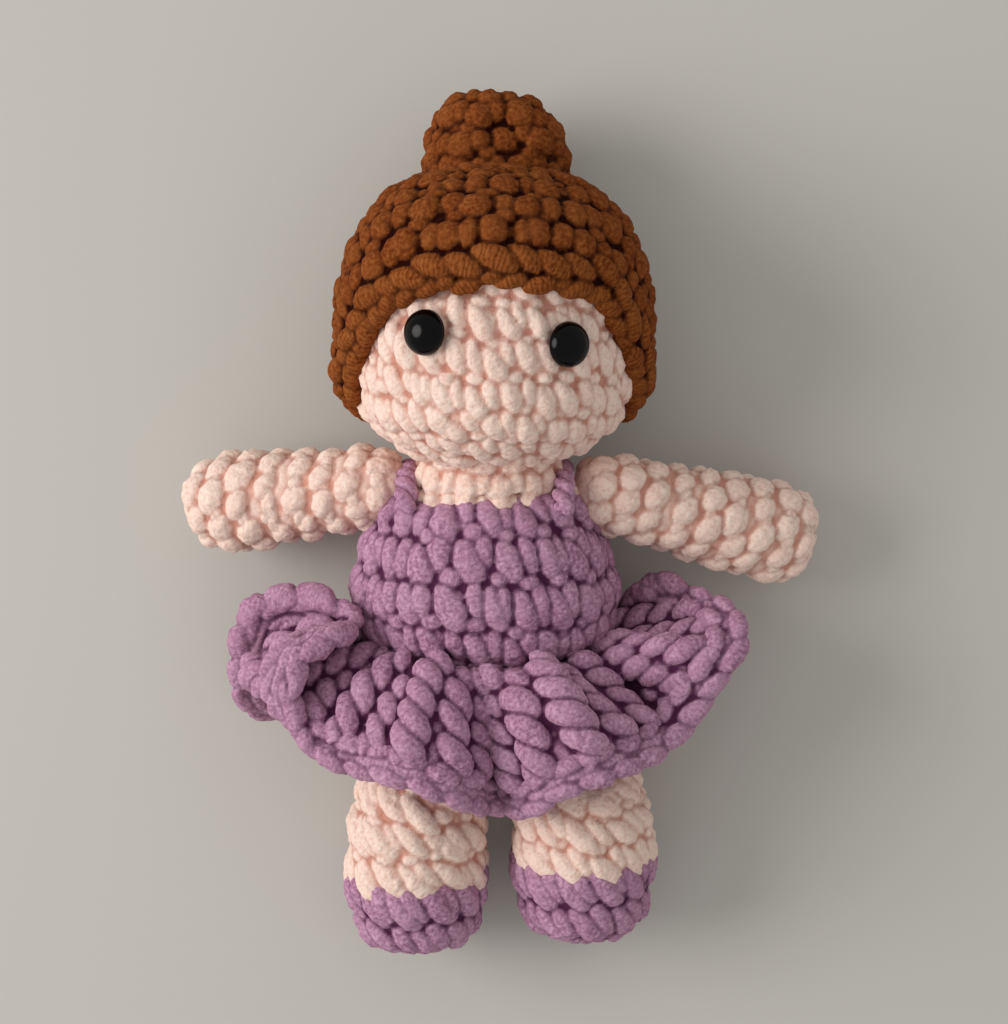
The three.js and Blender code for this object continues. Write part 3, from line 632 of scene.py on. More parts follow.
def finish_piece(piece, slot, body, node):
    """A piece's material, its body, and the solid it stands for."""
    piece.data.materials.append(slot_material(slot))
    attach(piece, body)
    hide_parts(node)


def crochet(node, strands, slot, body, detail=None):
    """Fuses a piece's strands and finishes it in the place of its solid."""
    finish_piece(knit(f"{node}_crochet", strands, detail), slot, body, node)


def socket(group, name, way, kind, default=None):
    made = group.interface.new_socket(name=name, in_out=way, socket_type=kind)
    if default is not None:
        made.default_value = default


# Scales of the pile's noises: tufts, single fibres, worn patches, and the ridges' waver
TUFT_SCALE = 900
FIBRE_SCALE = 3200
PATCH_SCALE = 90
WAVER_SCALE = 420
WAVER = 9.0


def pile_group():
    """Chenille pile: colour from painted shade in creases to painted highlights on tufts and ridges, with random
    tone, and the height of its tufts and ridges.
    """
    group = bpy.data.node_groups.get("Chenille pile")
    if group:
        return group
    group = bpy.data.node_groups.new("Chenille pile", "ShaderNodeTree")
    socket(group, "Yarn", "INPUT", "NodeSocketColor")
    socket(group, "Crease", "INPUT", "NodeSocketColor")
    socket(group, "Tip", "INPUT", "NodeSocketColor")
    socket(group, "Ridge spacing", "INPUT", "NodeSocketFloat", 1.25)
    socket(group, "Colour", "OUTPUT", "NodeSocketColor")
    socket(group, "Height", "OUTPUT", "NodeSocketFloat")
    nodes, links = group.nodes, group.links
    inside = nodes.new("NodeGroupInput")
    outside = nodes.new("NodeGroupOutput")
    place = nodes.new("ShaderNodeTexCoord")
    crease = nodes.new("ShaderNodeAttribute")
    crease.attribute_name = "crease"
    marks = nodes.new("ShaderNodeAttribute")
    marks.attribute_name = "yarn"
    split = nodes.new("ShaderNodeSeparateXYZ")
    links.new(marks.outputs["Vector"], split.inputs["Vector"])

    def noise(scale, detail, roughness):
        inputs = {"Scale": scale, "Detail": detail, "Roughness": roughness}
        node = add_node(nodes, "ShaderNodeTexNoise", inputs)
        links.new(place.outputs["Object"], node.inputs["Vector"])
        return node.outputs["Fac"]

    def ranged(value, low, high, top=1.0):
        node = add_node(nodes, "ShaderNodeMapRange", {"From Min": low, "From Max": high, "To Max": top})
        links.new(value, node.inputs["Value"])
        return node.outputs["Result"]

    def mixed(factor, first, second):
        node = nodes.new("ShaderNodeMix")
        node.data_type = "RGBA"
        links.new(factor, node.inputs["Factor"])
        links.new(first, node.inputs["A"])
        links.new(second, node.inputs["B"])
        return node.outputs["Result"]

    def combined(operation, first, second=0.0):
        node = nodes.new("ShaderNodeMath")
        node.operation = operation
        links.new(first, node.inputs[0])
        if isinstance(second, float):
            node.inputs[1].default_value = second
        else:
            links.new(second, node.inputs[1])
        return node.outputs["Value"]

    tufts = noise(TUFT_SCALE, 2.0, 0.6)
    fibres = noise(FIBRE_SCALE, 2.0, 0.65)
    patches = noise(PATCH_SCALE, 1.0, 0.5)
    waver = combined("MULTIPLY", noise(WAVER_SCALE, 1.0, 0.5), WAVER)
    spaced = combined("DIVIDE", split.outputs["X"], inside.outputs["Ridge spacing"])
    turns = combined("MULTIPLY", spaced, 2 * math.pi)
    ridge = combined("SINE", combined("ADD", turns, waver))
    ridges = combined("MULTIPLY", ranged(ridge, -1.0, 1.0), split.outputs["Z"])
    # Painted highlight: raised tufts and ridge crests are lightened towards the tip colour; random patches and
    # each strand's own tone lighten it too
    tuft_highlight = ranged(tufts, 0.42, 0.68, 0.75)
    patchy = ranged(patches, 0.35, 0.65, 0.3)
    toned = combined("MULTIPLY", split.outputs["Y"], 0.22)
    ridged = combined("MULTIPLY", ridges, 0.15)
    light = combined("ADD", combined("MAXIMUM", tuft_highlight, patchy), combined("ADD", toned, ridged))
    lit = mixed(light, inside.outputs["Yarn"], inside.outputs["Tip"])
    # Painted shade: places between low tufts and the fabric's creases are darkened towards the crease colour
    parting_shade = ranged(tufts, 0.46, 0.26, 0.42)
    sunk = combined("MAXIMUM", ranged(crease.outputs["Fac"], 0.04, 0.7), parting_shade)
    links.new(mixed(sunk, lit, inside.outputs["Crease"]), outside.inputs["Colour"])
    height = combined("ADD", tufts, combined("MULTIPLY", fibres, 0.45))
    height = combined("ADD", height, combined("MULTIPLY", ridges, 0.18))
    links.new(height, outside.inputs["Height"])
    return group


def new_material(name):
    """A new material with its nodes, its links and its shader."""
    material = bpy.data.materials.new(name)
    material.use_nodes = True
    tree = material.node_tree
    return material, tree.nodes, tree.links, tree.nodes["Principled BSDF"]


# The crease colour is painted shade and the tip colour painted highlight, which also tints the sheen
def yarn_material(name, colour, crease, tip, sheen):
    material, nodes, links, shader = new_material(name)
    pile = nodes.new("ShaderNodeGroup")
    pile.node_tree = pile_group()
    set_inputs(pile, {"Yarn": (*colour, 1), "Crease": (*crease, 1), "Tip": (*tip, 1)})
    bump = add_node(nodes, "ShaderNodeBump", {"Strength": 0.6, "Distance": 0.0006})
    links.new(pile.outputs["Height"], bump.inputs["Height"])
    links.new(pile.outputs["Colour"], shader.inputs["Base Color"])
    links.new(bump.outputs["Normal"], shader.inputs["Normal"])
    set_inputs(shader, {
        "Roughness": 0.95, "Specular IOR Level": 0.08, "Sheen Weight": sheen, "Sheen Roughness": 0.5,
        "Sheen Tint": (*tip, 1),
    })
    return material


def plain_material(name, colour, roughness, bump_scale, bump_strength, gloss):
    material, nodes, links, shader = new_material(name)
    place = nodes.new("ShaderNodeTexCoord")
    noise = add_node(nodes, "ShaderNodeTexNoise", {"Scale": bump_scale})
    links.new(place.outputs["Object"], noise.inputs["Vector"])
    bump = add_node(nodes, "ShaderNodeBump", {"Strength": bump_strength, "Distance": 0.0002})
    links.new(noise.outputs["Fac"], bump.inputs["Height"])
    links.new(bump.outputs["Normal"], shader.inputs["Normal"])
    spread = add_node(nodes, "ShaderNodeMapRange", {"To Min": roughness * 0.8, "To Max": roughness * 1.3})
    links.new(noise.outputs["Fac"], spread.inputs["Value"])
    links.new(spread.outputs["Result"], shader.inputs["Roughness"])
    set_inputs(shader, {"Base Color": (*colour, 1), "Specular IOR Level": gloss})
    return material


# Each slot's yarn: the material's name, its setting or colour, the colours of the painted shade in creases and of
# the painted highlight on tufts, and the sheen
YARNS = {
    "skin_yarn": ("Skin chenille", "skin", "#D19684", "#FAE5D8", 0.25),
    "purple_yarn": ("Purple chenille", "purple", "#512345", "#CDA2BC", 0.25),
    "brown_yarn": ("Brown chenille", "brown", "#240401", "#95562A", 0.08),
    "stuffing": ("Filling fibre", "#F1EFE9", "#CFCBC2", "#FFFFFC", 0.25),
}
# Each slot's plastic: the material's name, roughness, scale and strength of its bumps, and gloss
PLASTICS = {
    "eye_plastic": ("Glossy black plastic", 0.13, 300, 0.02, 0.15),
    "washer_plastic": ("Moulded washer plastic", 0.5, 900, 0.15, 0.3),
}
WASHER_COLOUR = "#D9D9D6"


def slot_material(slot):
    """The material of one slot, made when it's first asked for."""
    scene = bpy.context.scene
    name, *looks = YARNS.get(slot) or PLASTICS[slot]
    material = bpy.data.materials.get(name)
    if material:
        return material
    if slot in YARNS:
        colour, crease, tip, sheen = looks
        colour = linear(colour) if colour[0] == "#" else getattr(scene.doll_yarn, colour)
        return yarn_material(name, colour, linear(crease), linear(tip), sheen)
    colour = scene.doll_eyes.colour if slot == "eye_plastic" else linear(WASHER_COLOUR)
    return plain_material(name, colour, *looks)


def joint_place(name):
    return np.array(JOINTS[name]["pos_m"]) / MM


# The head's turning axis is the spine, from which body and head are placed
TILT = math.atan2(JOINTS["head_turn"]["axis"][2], JOINTS["head_turn"]["axis"][1])
SPINE = np.array([0, math.cos(TILT), math.sin(TILT)])
BODY = Placed(turn_x(TILT), joint_place("head_turn") - NECK_CENTRE_HEIGHT * SPINE)
HEAD = Placed(turn_x(TILT), BODY.shift + (HEAD_OFFSET, 0, 0))
# The share by which the body's left side is fuller than its right
FULLER_SIDE = 0.09


def body_form(local):
    """The body's own form: the small of the back drawn in below the skirt, and the fuller left side."""
    away = (local[..., 1] - BACK_HOLLOW_HEIGHT) / BACK_HOLLOW_SPAN
    back = np.maximum(-local[..., 2], 0) / (HIPS_RADIUS * BODY_DEPTH)
    local = local.copy()
    local[..., 2] += BACK_HOLLOW * back * np.exp(-away * away)
    local[..., 0] *= np.where(local[..., 0] < 0, 1 + FULLER_SIDE, 1.0)
    return local


def body_surface():
    return Turned(BODY, BODY_OUTLINE, BODY_DEPTH, body_form)


def head_surface():
    return Turned(HEAD, HEAD_OUTLINE, HEAD_DEPTH)


def limb_frame(joint, side, droop, slope):
    """A limb's own frame at its joint: +Y along the limb, which droops towards the table."""
    droop, slope = math.radians(droop), math.radians(slope)
    level = math.cos(droop)
    way = (side * math.cos(slope) * level, -math.sin(slope) * level, -math.sin(droop))
    return Placed(turn_to(way), joint_place(joint))


def arm_frame(name):
    arm = ARMS[name]
    return limb_frame(f"arm_{name}_raise", arm["side"], arm["droop"], arm["slope"])


def leg_frame(name):
    return limb_frame(f"leg_{name}_lift", 0, LEG_DROOP, 90)


def sewn_arm_outline(length):
    """The arm with its root pressed flat against the shoulder it is sewn to."""
    return [
        (0, -13), (6.5, -11.6), (10, -6.5), (12, 1), (12.6, 14), (13.8, 28), (HAND_RADIUS, length - 14),
        (HAND_RADIUS * ROUNDING, length - 4), (0, length),
    ]


def shod_leg_outline(length):
    """The leg from the ball at the hip to the sole of its shoe."""
    return [
        (0, -HIP_BALL), (HIP_BALL * ROUNDING, -HIP_BALL * ROUNDING_LENGTH), (HIP_BALL, 0), (18.6, 12),
        (20.4, 24), (20, length - 15.5), (14.2, length - 3.8), (0, length),
    ]


def turned_down(rows):
    """The same rows with their stitches pointing the other way."""
    return [(high, low, count, phase) for low, high, count, phase in rows]


# How deep a core lies under the piece's surface, and how far it ends before the surface's poles
CORE_INSET = 2.2
HIGH_CORE = 1.7
CORE_END = 1
CORE_SIDES = 48
# How full the pieces are stuffed, as a share
HAIR_DETAIL = 0.00078
STRAP_DETAIL = 0.0005
FILLING_DETAIL = 0.0016
SEWING_DETAIL = 0.0004
# Where the head's rounds start, how far before the crown they stop, hidden by the cap, and how they slope
FACE_START = 17
FACE_STOP = 26
FACE_SLOPE = -3.5


class KnitHead(bpy.types.Operator):
    """Crochets the head in rounds from the neck to the crown"""

    bl_idname = "doll.head"
    bl_label = "Head"

    def execute(self, context):
        stitches = context.scene.doll_stitches
        strands = Strands(3)
        surface = head_surface()
        rows = even_rows(surface, FACE_START, surface.length - FACE_STOP, stitches.face_width / MM,
                         stitches.face_height / MM, strands.rng)
        rounds(strands, surface, rows, yarn=2.6, wobble=0.9, lean=0.3, loose=0.1, slope=FACE_SLOPE)
        core(strands, surface, CORE_END, surface.length - CORE_END, CORE_INSET)
        crochet("head", strands, "skin_yarn", "head")
        return {"FINISHED"}


# How far the cap thins at its edge, from which share of its way, and over which share
EDGE_SINK = 3.2
EDGE_START = 0.8
EDGE_SHARE = 0.2
# Where the hairline is lifted (turn about the cap's axis), and by what share of its way from the centre
TEMPLES = [(0.8, 0.055), (2 * math.pi - 0.75, 0.02)]
TEMPLE_SPAN = 0.4
# Between which angles from its centre the hairline is looked for, in degrees, and between which distances
# from the head's centre the cap's outside, halving what's left in each step
HAIRLINE_SEARCH = (20, 130)
CAP_SEARCH = (20.0, 70.0)
SEARCH_STEPS = 20
# How many steps of 2 degrees the hairline is smoothed over, to each side
HAIRLINE_BLUR = 12
HAIR_FAT = [(0.33, -0.14, -0.85), (0.26, 0.28, -0.06), (0.16, 0.66, 0.0), (0.06, 1.10, -0.75)]
HAIR_SLIM = [(-0.18, -0.10, -0.95), (-0.25, 0.30, -0.18), (-0.22, 0.68, -0.10), (-0.12, 1.08, -0.85)]
HAIR_STITCH = [(HAIR_FAT, 0.41), (HAIR_SLIM, 0.36), (LOOP, 0.27)]
# Where the cap's rounds start, and the ridge under each of them
CAP_START = 5
HAIR_RIDGE = 0.84
HAIR_RIDGE_DEPTH = 1.3
# The hairline's two rounds: way before the edge, half length, spacing, half width, height over the cap, slant
HAIRLINE_ROUNDS = [(5.6, 7.6, 8.3, 3.7, -3.5, 2.2), (1.6, 6.2, 6.8, 3.1, -4.4, -1.8)]
# How far before its edge the cap's own rounds stop
HAIRLINE_HEIGHT = 8
# The bowl under the cap's stitches: how deep it lies and where it ends
SHELL_DEPTH = 2.5
SHELL_END = 0.985
# A bun stitch's width and height, and how far the bun sinks further into the cap than its solid
BUN_STITCH = (11.5, 9.2)
BUN_LOWERED = 2.9


class HairSurface:
    """The cap's outside: u is the turn about the cap's tilted axis, v the way from its centre to its edge."""

    length = 82.0

    def __init__(self, out):
        skin = head_surface()
        self.height, self.radius = skin.height, skin.radius
        self.out = out
        axis = np.array([0, math.cos(HAIRLINE_TILT), -math.sin(HAIRLINE_TILT)])
        self.axis = axis
        self.front = np.array([0, -axis[2], axis[1]])
        self.centre = np.array([0, HEAD_CENTRE_HEIGHT, 0])
        self.middle = HEAD.out(self.centre)
        angles = np.linspace(0, 2 * math.pi, 181)
        reach = np.radians(np.linspace(*HAIRLINE_SEARCH, 441))
        uu, tt = np.meshgrid(angles, reach, indexing="ij")
        local = self.local(uu, tt)
        inside = ((local - np.array(HAIRLINE_POINT)) @ axis > 0) & (local[..., 1] > NAPE_HEIGHT)
        edge = reach[np.argmin(inside, axis=1)]
        edge[-1] = edge[0]
        around = np.concatenate([edge[-HAIRLINE_BLUR - 1:-1], edge, edge[1:HAIRLINE_BLUR + 1]])
        window = 2 * HAIRLINE_BLUR + 1
        self.angles = angles
        self.edge = np.convolve(around, np.ones(window) / window, mode="valid")
        for turn, lift in TEMPLES:
            away = np.minimum(np.abs(angles - turn), 2 * math.pi - np.abs(angles - turn))
            self.edge -= lift * self.edge * np.exp(-(away / TEMPLE_SPAN) ** 2)

    def local(self, u, tilt):
        """Where a ray from the head's centre leaves the cap, in the head's frame."""
        level = np.cos(u)[..., None] * self.front + np.sin(u)[..., None] * np.array([1, 0, 0])
        way = np.cos(tilt)[..., None] * self.axis + np.sin(tilt)[..., None] * level
        low, high = (np.full(u.shape, end) for end in CAP_SEARCH)
        for _ in range(SEARCH_STEPS):
            middle = (low + high) / 2
            point = self.centre + way * middle[..., None]
            inside = np.hypot(point[..., 0], point[..., 2] / HEAD_DEPTH) < self.outline(point[..., 1])
            low = np.where(inside, middle, low)
            high = np.where(inside, high, middle)
        return self.centre + way * low[..., None]

    def outline(self, height):
        middle = HEAD_CENTRE_HEIGHT
        stretched = middle + (height - middle) * HEAD_HALF_HEIGHT / (HEAD_HALF_HEIGHT + self.out)
        radius = np.interp(stretched, self.height, self.radius, left=0, right=0)
        return np.where(radius > 0, radius + self.out, 0)

    def place(self, u, v):
        edge = np.interp(np.mod(u, 2 * math.pi), self.angles, self.edge)
        return HEAD.out(self.local(u, np.clip(v / self.length, 0.002, 1.1) * edge))

    def radius_at(self, v):
        return (HEAD_RADIUS + self.out) * np.sin(np.clip(v / self.length, 0.05, 1) * self.edge.mean())

    def sink(self, v):
        """The cap thins towards its edge, where it hugs the face."""
        return EDGE_SINK * np.clip((v / self.length - EDGE_START) / EDGE_SHARE, 0, 1.2) ** 1.5


class KnitHair(bpy.types.Operator):
    """Crochets the hair cap in rounds about the bun, and the bun itself"""

    bl_idname = "doll.hair"
    bl_label = "Hair"

    def execute(self, context):
        self.cap(context)
        self.bun()
        return {"FINISHED"}

    def cap(self, context):
        stitches = context.scene.doll_stitches
        strands = Strands(11)
        surface = HairSurface(CAP_THICKNESS + 0.3)
        rows = even_rows(surface, CAP_START, surface.length - HAIRLINE_HEIGHT, stitches.hair_width / MM,
                         stitches.hair_height / MM, strands.rng)
        rounds(strands, surface, turned_down(rows), yarn=3.1, wobble=0.8, stitch=HAIR_STITCH,
               sink=surface.sink, loose=0.06)
        ridges(strands, surface, rows[1:], HAIR_RIDGE, HAIR_RIDGE_DEPTH, sink=surface.sink)
        self.hairline(strands, surface)
        self.shell(strands, surface)
        crochet("hair_cap", strands, "brown_yarn", "head", detail=HAIR_DETAIL)

    def hairline(self, strands, surface):
        """The last rounds: long strands that lie along the hairline, over a thinner edge."""
        girth = 2 * math.pi * surface.radius_at(surface.length)
        for before, reach, spacing, half, out, slant in HAIRLINE_ROUNDS:
            v = surface.length - before
            count = round(girth / spacing)
            turn = (np.arange(count)[:, None] + strands.rng.normal(0, 0.08, (count, 1))) * 2 * math.pi / count
            way = SAMPLES * 2 - 1
            u = turn + way * reach / girth * 2 * math.pi
            place = v + way * slant + strands.rng.normal(0, 0.9, (count, 1))
            lift = out + strands.rng.normal(0, 0.35, (count, 1)) - 0.5 * way ** 2
            centre, normal = on(surface, u, place, lift - surface.sink(place) * 0.6)
            size = half * plump(SAMPLES) * (1 + strands.rng.normal(0, 0.05, (count, 1)))
            strands.lay(centre, size, size, normal, ridged=3.0)

    def shell(self, strands, surface):
        """The bowl under the stitches: its outside, and its inside against the head."""
        u = np.linspace(0, 2 * math.pi, 64, endpoint=False)
        levels = np.linspace(1.5, surface.length * SHELL_END, 26)
        uu, vv = np.meshgrid(u, levels)
        outer, _ = on(surface, uu, vv, -SHELL_DEPTH - 0.8 * surface.sink(vv))
        inner, _ = on(surface, uu, vv, np.full(uu.shape, -CAP_THICKNESS + 0.1))
        strands.fill(*skin_of(np.concatenate([inner, outer[::-1]])))

    def bun(self):
        strands = Strands(5)
        placed = HEAD.then(turn_x(-BUN_LEAN), (0, HEAD_CENTRE_HEIGHT, 0))
        lift = HEAD_HALF_HEIGHT + CAP_THICKNESS + BUN_HALF_HEIGHT - BUN_SINK
        placed = placed.then(np.eye(3), (0, lift - BUN_LOWERED, 0))
        surface = Turned(placed, BUN_OUTLINE, shape=uneven)
        rows = even_rows(surface, 7, surface.length - 3, *BUN_STITCH, strands.rng, least=5)
        rounds(strands, surface, rows, yarn=3.0, wobble=1.6, fat=1.05)
        core(strands, surface, CORE_END, surface.length - CORE_END, HIGH_CORE)
        crochet("hair_bun", strands, "brown_yarn", "head")


# The dimple in the front of the bun: its place, its depth as a share, and its spread in square millimetres
DIMPLE = (3, 1, 19)
DIMPLE_DEPTH = 0.13
DIMPLE_SPREAD = 45


def uneven(local):
    """A hand-sewn ball is never quite round: it swells here and there, and has a dimple in front."""
    x, y, z = local[..., 0], local[..., 1], local[..., 2]
    swell = 1.03 + 0.045 * np.sin(x / 7 + 1.1) * np.cos(z / 8) + 0.04 * np.sin(y / 6 + x / 9)
    away = (x - DIMPLE[0]) ** 2 + (y - DIMPLE[1]) ** 2 + np.minimum(z - DIMPLE[2], 0) ** 2
    swell = swell - DIMPLE_DEPTH * np.exp(-away / DIMPLE_SPREAD)
    return np.stack([x * swell * 1.02, y * (swell - 0.07), z * (swell - 0.03)], -1)


# The neckline's height over the solids', and how far the bodice's last round reaches over its own end
NECKLINE_LIFT = 2.6
LAST_ROUND = 2.2
NECK_DEPTH = 0.92
NECK_OUTLINE = [(0, 33.5), (18, 34), (22.2, 36.2), (21.8, 41), (21.0, 45), (18, 49), (0, 50)]
NECK_ROUNDS = [(18.5, 30.5, 13, 0.1), (30.0, 37.0, 13, 0.5)]
# The straps: place across the body and seed, then points on one, lowest height, rise and height off the body
STRAPS = {"left": (-22.5, 12), "right": (20.0, 13)}
STRAP_POINTS = 60
STRAP_BASE = 31.5
STRAP_RISE = 8.0
STRAP_LIFT = 1.6


class KnitBody(bpy.types.Operator):
    """Crochets the bodice, the yoke, the neck and the straps"""

    bl_idname = "doll.body"
    bl_label = "Body"

    def execute(self, context):
        stitches = context.scene.doll_stitches
        surface = body_surface()
        neckline = surface.v_at_height(NECKLINE_HEIGHT) + NECKLINE_LIFT
        strands = Strands(7)
        rows = even_rows(surface, 6, neckline + LAST_ROUND, stitches.bodice_width / MM,
                         stitches.bodice_height / MM, strands.rng)
        low, high, count, phase = rows[-1]
        rows[-1] = (low, high + LAST_ROUND, count, phase)
        rounds(strands, surface, rows, yarn=2.9, lean=0.16, wobble=0.6, stitch=BODICE_STITCH, loose=0.06)
        core(strands, surface, CORE_END, neckline - CORE_END, CORE_INSET)
        crochet("bodice", strands, "purple_yarn", "torso")
        strands = Strands(8)
        lower = (neckline - 1.0, neckline + 7.0, count, phase + 0.5)
        upper = (neckline + 6.5, neckline + 13, 15, 0.8)
        rounds(strands, surface, [lower, upper], yarn=2.5)
        core(strands, surface, neckline - CORE_END, surface.length - CORE_END, CORE_INSET, up=8)
        crochet("yoke", strands, "skin_yarn", "torso")
        self.neck()
        self.straps()
        return {"FINISHED"}

    def neck(self):
        """The neck, wider than deep, so that the yoke shows in front of it."""
        strands = Strands(9)
        surface = Turned(BODY, NECK_OUTLINE, NECK_DEPTH)
        rounds(strands, surface, NECK_ROUNDS, yarn=2.6)
        core(strands, surface, CORE_END, surface.length - CORE_END, CORE_INSET, up=14)
        crochet("neck", strands, "skin_yarn", "neck")

    def straps(self):
        for name, (x, seed) in STRAPS.items():
            strands = Strands(seed)
            heights = np.linspace(0, 1, STRAP_POINTS)
            front = BODY_DEPTH * math.sqrt(CHEST_RADIUS ** 2 - x ** 2) + STRAP_LIFT
            front = front * (1 - heights ** 2.4) ** 0.5
            front = np.stack([np.full(STRAP_POINTS, x), STRAP_BASE + STRAP_RISE * heights, front], -1)
            path = np.concatenate([front, front[::-1] * (1, 1, -1)])
            length = distances(path)
            at = np.linspace(0, length[-1], STRAP_POINTS)
            middle = BODY.out(np.stack([np.interp(at, length, path[:, k]) for k in range(3)], -1))
            outward = unit(middle - BODY.out(np.array([x * 0.9, 22.0, 0])))
            rope(strands, middle, outward, twist_radius=1.3, strand_radius=1.9, pitch=10.0, flat=0.8)
            crochet(f"strap_{name}", strands, "purple_yarn", "torso", detail=STRAP_DETAIL)


def rope(strands, middle, outward, twist_radius, strand_radius, pitch, phase=0.0, flat=1.0, taper=None):
    """Two strands twisted about a path; outward gives the path's upper side at each point."""
    along = unit(np.gradient(middle, axis=0))
    side = unit(np.cross(along, outward))
    up = np.cross(side, along)
    travelled = distances(middle)
    size = np.ones(len(middle)) if taper is None else taper
    for k in range(2):
        turn = phase + 2 * math.pi * (travelled / pitch + k / 2)
        across = np.cos(turn) * twist_radius * size
        lift = np.sin(turn) * twist_radius * size * flat
        centre = middle + side * across[:, None] + up * lift[:, None]
        half = strand_radius * size
        strands.lay(centre[None], half[None], half[None] * flat, up[None], sides=12)


# An arm's stitches and rounds against a leg's, and the ridge under each of its rounds
ARM_WIDTH = 0.87
ARM_HEIGHT = 0.75
ARM_RIDGE = 0.9
ARM_RIDGE_DEPTH = 0.7
# Where an arm's rounds start, and how far before the end of an arm or a shoe they stop
ARM_START = 9
LIMB_STOP = 2.5


class KnitArms(bpy.types.Operator):
    """Crochets both arms"""

    bl_idname = "doll.arms"
    bl_label = "Arms"

    def execute(self, context):
        stitches = context.scene.doll_stitches
        width = stitches.limb_width / MM * ARM_WIDTH
        height = stitches.limb_height / MM * ARM_HEIGHT
        for number, (name, arm) in enumerate(ARMS.items()):
            strands = Strands(20 + number)
            surface = Turned(arm_frame(name), sewn_arm_outline(arm["length"]))
            rows = even_rows(surface, ARM_START, surface.length - LIMB_STOP, width, height, strands.rng,
                             least=5)
            rounds(strands, surface, turned_down(rows), yarn=3.1, wobble=0.3, stitch=ARM_STITCH)
            ridges(strands, surface, rows, ARM_RIDGE, ARM_RIDGE_DEPTH)
            core(strands, surface, CORE_END, surface.length - CORE_END, HIGH_CORE)
            crochet(f"arm_{name}", strands, "skin_yarn", f"arm_{name}")
        return {"FINISHED"}


# How far the shoe's edge stands above the solids', the height of its rounds, and how far over the ankle the
# leg's rounds reach down and the shoe's rounds up
SHOE_RISE = 3.2
SHOE_ROUND = 12.5
LEG_OVERLAP = 2.4
SHOE_OVERLAP = 2.6
LEG_START = 12


class KnitLegs(bpy.types.Operator):
    """Crochets both legs and their shoes"""

    bl_idname = "doll.legs"
    bl_label = "Legs and shoes"

    def execute(self, context):
        stitches = context.scene.doll_stitches
        width, height = stitches.limb_width / MM, stitches.limb_height / MM
        for number, (name, leg) in enumerate(LEGS.items()):
            surface = Turned(leg_frame(name), shod_leg_outline(leg["length"]))
            ankle = surface.v_at_height(leg["length"] - leg["shoe"] - SHOE_RISE)
            strands = Strands(30 + number)
            rows = even_rows(surface, LEG_START, ankle + LEG_OVERLAP, width, height, strands.rng)
            rounds(strands, surface, turned_down(rows), yarn=3.0, wobble=0.9, lean=0.85, mirror=-1,
                   stitch=LEG_STITCH, loose=0.1)
            core(strands, surface, CORE_END, ankle + 0.5, CORE_INSET)
            crochet(f"leg_{name}", strands, "skin_yarn", f"leg_{name}")
            strands = Strands(32 + number)
            rows = even_rows(surface, ankle - SHOE_OVERLAP, surface.length - LIMB_STOP, width, SHOE_ROUND,
                             strands.rng, phase=rows[-1][3] + 0.5)
            rounds(strands, surface, turned_down(rows), yarn=3.0, lean=0.7, mirror=-1, stitch=SHOE_STITCH)
            core(strands, surface, ankle + 0.8, surface.length - CORE_END, CORE_INSET, up=16)
            crochet(f"shoe_{name}", strands, "purple_yarn", f"leg_{name}")
        return {"FINISHED"}


# The hem's middle line from the front round the +X side, the back and the other side: x, y, z, how far
# the posts that lead to it arch towards the front (below 0: hollow away), how far they bulge outwards,
# and how thick the braid is there
HEM_LINE = [
    (0.5, -59.5, 45, -34, 0, 1), (9.5, -58, 54, 2, 0, 1), (16.5, -52.5, 61, 7, 0, 1),
    (28, -48.5, 61, 9, 0, 1), (40, -44.5, 53, 4, 0, 1), (48.5, -38.5, 46, -32, 0, 1.1),
    (56, -27, 46, 12, 0, 1.1), (63, -17, 45, 16, 0, 1.1), (62.5, -9.5, 37, 11, 0, 1),
    (54, -5, 27, 2, 0, 1), (43, -1, 21, 0, 0, 1), (47, -12, 12, 0, 0, 1), (53, -27, 8, 0, 0, 1),
    (43, -39, 4.4, 0, 0, 1), (22, -44.5, 3.9, 0, 0, 1), (-3, -44, 3.9, 0, 0, 1), (-28, -44, 3.9, 0, 0, 1),
    (-50, -38.5, 5, 0, 0, 1), (-67, -35.5, 15, 0, 0, 1.1), (-69.3, -24, 25, 0, 0, 1.25),
    (-64, -9.5, 31, 17, 0, 1.5), (-50.5, -6.5, 36, 17, 0, 1.5), (-39.5, -11.5, 43, 0, 4, 1.2),
    (-47, -14.5, 51, -3, 18, 1.35), (-54.5, -20.5, 54, -6, 38, 1.3), (-56.5, -31, 53, -8, 38, 1.1),
    (-50.5, -41, 52, -6, 16, 1), (-38.5, -47, 56, 3, 0, 1), (-24, -49.5, 63, 8, 0, 1),
    (-11, -55, 61, 5, 0, 1),
]
# How far the folds beside the front lean sideways, as a share of the waist, with their place and width
SLANT = 0.038
SLANT_PLACE = 0.12
SLANT_WIDTH = 0.09
# The small steps, outwards and round, over which the ruffle's direction is measured
STEP_OUT = 0.02
STEP_SHARE = 0.002


def hem_line(share):
    return catmull(HEM_LINE, np.asarray(share) * len(HEM_LINE), closed=True)


def hem(share):
    return hem_line(share)[..., :3]


def waist(share):
    angle = np.asarray(share) * 2 * math.pi
    local = np.stack([
        SKIRT_WAIST_RADIUS * np.sin(angle), np.full(angle.shape, float(SKIRT_WAIST_HEIGHT)),
        SKIRT_WAIST_RADIUS * BODY_DEPTH * np.cos(angle),
    ], -1)
    return BODY.out(local)


